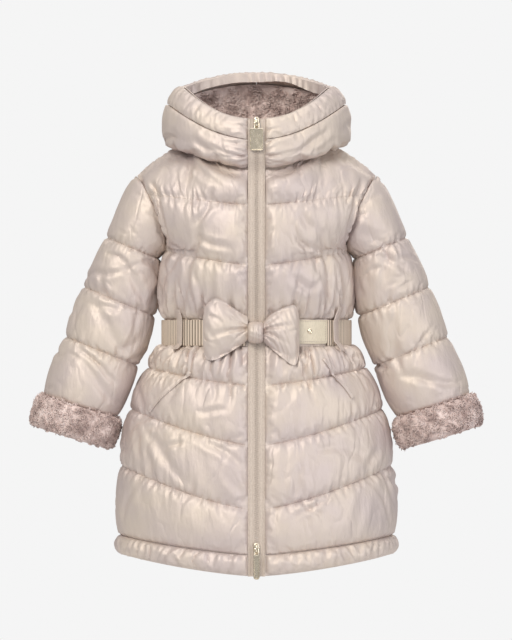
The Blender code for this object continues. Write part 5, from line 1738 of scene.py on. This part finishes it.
def build_bow(tree):
    for name, table in (("bow_loop_right", BOW_RIGHT), ("bow_loop_left", BOW_LEFT), ("bow_knot", BOW_KNOT)):
        table = [dict(row) for row in table]
        columns = steps(0, len(table) - 1, 14 * (len(table) - 1) if name != "bow_knot" else 40)
        rows = steps(0, 1, 44)
        lump = wobble(len(name), 0.9)
        fronts, backs = [], []
        for c in columns:
            x, low, top, puff = (table_value(table, key, c) for key in ("x", "low", "top", "puff"))
            high = top - low
            column_front, column_back = [], []
            for t in rows:
                z = mix(low, top, t)
                found = []
                for dx in (-4, 0, 4):
                    for dz in (-4, 0, 4):
                        hit = tree.ray_cast(Vector((x + dx, -400, z + dz)), Vector((0, 1, 0)))[0]
                        if hit:
                            found.append(hit.y)
                back = min(found) - 0.6
                bulge = puff * max(0.0, 1 - (2 * t - 1) ** 2) ** 0.5
                inside = min(1.0, bulge / 5)
                cut = (bow_fold(name, x, t, high) - lump(x / 60, t * 3)) * inside
                y = min(back - 1.6, BOW_BASE - bulge + cut)
                column_front.append(Vector((x, y, z)))
                column_back.append(Vector((x, back, z)))
            fronts.append(column_front)
            backs.append(column_back)
        wide, tall = len(columns), len(rows)
        points = [p for column in fronts for p in column] + [p for column in backs for p in column]
        faces = grid_faces(wide, tall, False) + grid_faces(wide, tall, False, wide * tall)
        second = wide * tall
        for c in range(wide - 1):
            for r in (0, tall - 1):
                a, b = c * tall + r, (c + 1) * tall + r
                faces.append((a, b, second + b, second + a))
        for r in range(tall - 1):
            for c in (0, wide - 1):
                a, b = c * tall + r, c * tall + r + 1
                faces.append((a, b, second + b, second + a))
        obj = add_mesh(f"padded_{name}", points, faces, "shell")
        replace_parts(obj, name)


# Pockets

def build_pockets(tree):
    for row in POCKETS:
        run = Vector((row["x1"] - row["x0"], row["z1"] - row["z0"])).normalized()
        cross = Vector((-run.y, run.x))
        stops, spread = steps(0, 1, 40), (-1.0, -0.8, -0.3, 0.2, 0.6, 0.9, 1.0)
        middle, outs = [], []
        for t in stops:
            x, z = mix(row["x0"], row["x1"], t), mix(row["z0"], row["z1"], t) + 4 * math.sin(math.pi * t)
            line = []
            for s in spread:
                px, pz = x + s * cross.x * WELT_HALF, z + s * cross.y * WELT_HALF
                flat = Vector((px, -(120 * math.sqrt(max(0.05, 1 - (px / 175) ** 2))), 0)).normalized()
                line.append((flat, max(reach(tree, flat, pz + dz) for dz in (-2, 0, 2)), pz))
            middle.append(line)
        out = np.array([[cell[1] for cell in line] for line in middle])
        for _ in range(2):
            out[1:-1] = np.maximum(out[1:-1], (out[:-2] + 2 * out[1:-1] + out[2:]) / 4)
        grid = np.array([[(cell[0] * (out[i, j] + 1.3) + Vector((0, 0, cell[2])))[:]
                          for j, cell in enumerate(line)] for i, line in enumerate(middle)])
        normals = np.array([[cell[0][:] for cell in line] for line in middle])
        welt = wall(row["name"].replace("pocket_welt", "welt"), grid, normals, 0.8, "shell", (row["name"],))
        edge = [(Vector(grid[i, 4]) + Vector(normals[i, 4]) * 0.85, Vector(normals[i, 4]))
                for i in range(len(stops))]
        stitches(row["name"].replace("pocket_welt", "welt_stitching"), [edge], length=2.2, gap=1.0)


# Quilting thread

def build_quilting(panels):
    runs = []
    for p, _ in panels:
        rows = p["vs"]
        for seam in p["seams"]:
            r = int(np.argmin([abs(v - seam) for v in rows]))
            places = list(p["outer"][r])
            normals = list(p["normals"][r])
            if p["closed"]:
                places.append(places[0])
                normals.append(normals[0])
            runs.append([(Vector(a), Vector(n)) for a, n in zip(places, normals)])
    stitches("quilting_thread", runs, length=2.7, gap=1.2)


# Light and camera

BACKGROUND = 0.913
AXIS_HEIGHT = -0.216
PICTURE_HIGH = 0.864
CAMERA_AWAY = 6.0
FLOOR_RADIUS = 1.15
FLOOR_HEIGHT = -0.83


def add_area(name, place, size, power, colour, target=(0, 0, -0.25)):
    light = bpy.data.lights.new(name, "AREA")
    light.shape = "RECTANGLE"
    light.size, light.size_y = size
    light.energy = power
    light.color = colour
    obj = bpy.data.objects.new(name, light)
    obj.location = place
    obj.rotation_euler = (Vector(target) - Vector(place)).to_track_quat("-Z", "Y").to_euler()
    bpy.context.scene.collection.objects.link(obj)


def set_light():
    scene = bpy.context.scene
    world = bpy.data.worlds.new("studio")
    scene.world = world
    world.use_nodes = True
    tree = world.node_tree
    surround = tree.nodes["Background"]
    surround.inputs["Color"].default_value = (1.0, 0.985, 0.97, 1)
    surround.inputs["Strength"].default_value = 0.40
    shown = tree.nodes.new("ShaderNodeBackground")
    shown.inputs["Color"].default_value = (BACKGROUND, BACKGROUND, BACKGROUND, 1)
    path = tree.nodes.new("ShaderNodeLightPath")
    pick = tree.nodes.new("ShaderNodeMixShader")
    tree.links.new(path.outputs["Is Camera Ray"], pick.inputs[0])
    tree.links.new(surround.outputs[0], pick.inputs[1])
    tree.links.new(shown.outputs[0], pick.inputs[2])
    tree.links.new(pick.outputs[0], tree.nodes["World Output"].inputs["Surface"])
    add_area("key", (-1.0, -2.6, 1.6), (1.4, 1.4), 62, (1.0, 0.955, 0.87))
    add_area("fill", (2.3, -2.2, 0.2), (1.6, 2.0), 28, (0.97, 0.97, 1.0))
    add_area("top", (0.0, -0.3, 2.2), (1.8, 1.4), 14, (1.0, 0.98, 0.95))
    add_area("back", (0.6, 2.6, 1.0), (2.0, 1.6), 22, (1.0, 0.98, 0.96))
    scene.view_settings.view_transform = "Standard"
    scene.view_settings.look = "None"
    scene.view_settings.exposure = 0.0


def set_floor():
    """A pale disc under the coat that fades into the background towards its rim."""
    made = bpy.data.meshes.new("floor")
    shape = bmesh.new()
    bmesh.ops.create_circle(shape, cap_ends=True, segments=96, radius=FLOOR_RADIUS)
    shape.to_mesh(made)
    shape.free()
    floor = bpy.data.objects.new("floor", made)
    floor.location = (0, 0, FLOOR_HEIGHT)
    bpy.context.scene.collection.objects.link(floor)
    material, tree, shader = new_material("floor")
    shader.inputs["Base Color"].default_value = (0.86, 0.86, 0.86, 1)
    shader.inputs["Roughness"].default_value = 0.9
    place = tree.nodes.new("ShaderNodeTexCoord")
    reach = tree.nodes.new("ShaderNodeVectorMath")
    reach.operation = "LENGTH"
    tree.links.new(place.outputs["Object"], reach.inputs[0])
    fade = tree.nodes.new("ShaderNodeMapRange")
    fade.inputs["From Min"].default_value = 0.35
    fade.inputs["From Max"].default_value = FLOOR_RADIUS * 0.95
    tree.links.new(reach.outputs["Value"], fade.inputs["Value"])
    far = tree.nodes.new("ShaderNodeEmission")
    far.inputs["Color"].default_value = (BACKGROUND, BACKGROUND, BACKGROUND, 1)
    both = tree.nodes.new("ShaderNodeMixShader")
    tree.links.new(fade.outputs["Result"], both.inputs[0])
    tree.links.new(shader.outputs[0], both.inputs[1])
    tree.links.new(far.outputs[0], both.inputs[2])
    output = next(n for n in tree.nodes if n.type == "OUTPUT_MATERIAL")
    tree.links.new(both.outputs[0], output.inputs["Surface"])
    made.materials.append(material)


def set_camera():
    scene = bpy.context.scene
    camera = bpy.data.cameras.new("camera")
    camera.sensor_fit = "AUTO"
    camera.sensor_width = 36.0
    camera.lens = 36.0 * CAMERA_AWAY / PICTURE_HIGH
    camera.clip_end = 50
    obj = bpy.data.objects.new("camera", camera)
    obj.location = (-0.0007, -CAMERA_AWAY - 0.05, AXIS_HEIGHT)
    obj.rotation_euler = (math.radians(90), 0, 0)
    scene.collection.objects.link(obj)
    scene.camera = obj


def main():
    panels = set_out_panels()
    simulate([p for p, _ in panels])
    pieces = {}
    for p, nodes in panels:
        pieces[p["name"]] = finish_panel(p, "shell", nodes)
    build_quilting(panels)
    build_waistband()
    build_facing()
    build_fur()
    build_zip()
    build_belt()
    fronts = [bpy.data.objects[n] for n in ("skirt_front_left", "skirt_front_right", "bodice_front_left",
                                            "bodice_front_right", "waist_casing", "belt_elastic", "strap_tab")]
    build_belt_loops(covering(fronts))
    zips = [bpy.data.objects[n] for n in ("tape_left", "tape_right", "chain_teeth", "strap_belt_loop_left",
                                          "strap_belt_loop_right")]
    build_bow(covering(fronts + zips))
    build_pockets(covering(fronts[:2]))
    set_light()
    set_floor()
    set_camera()


main()
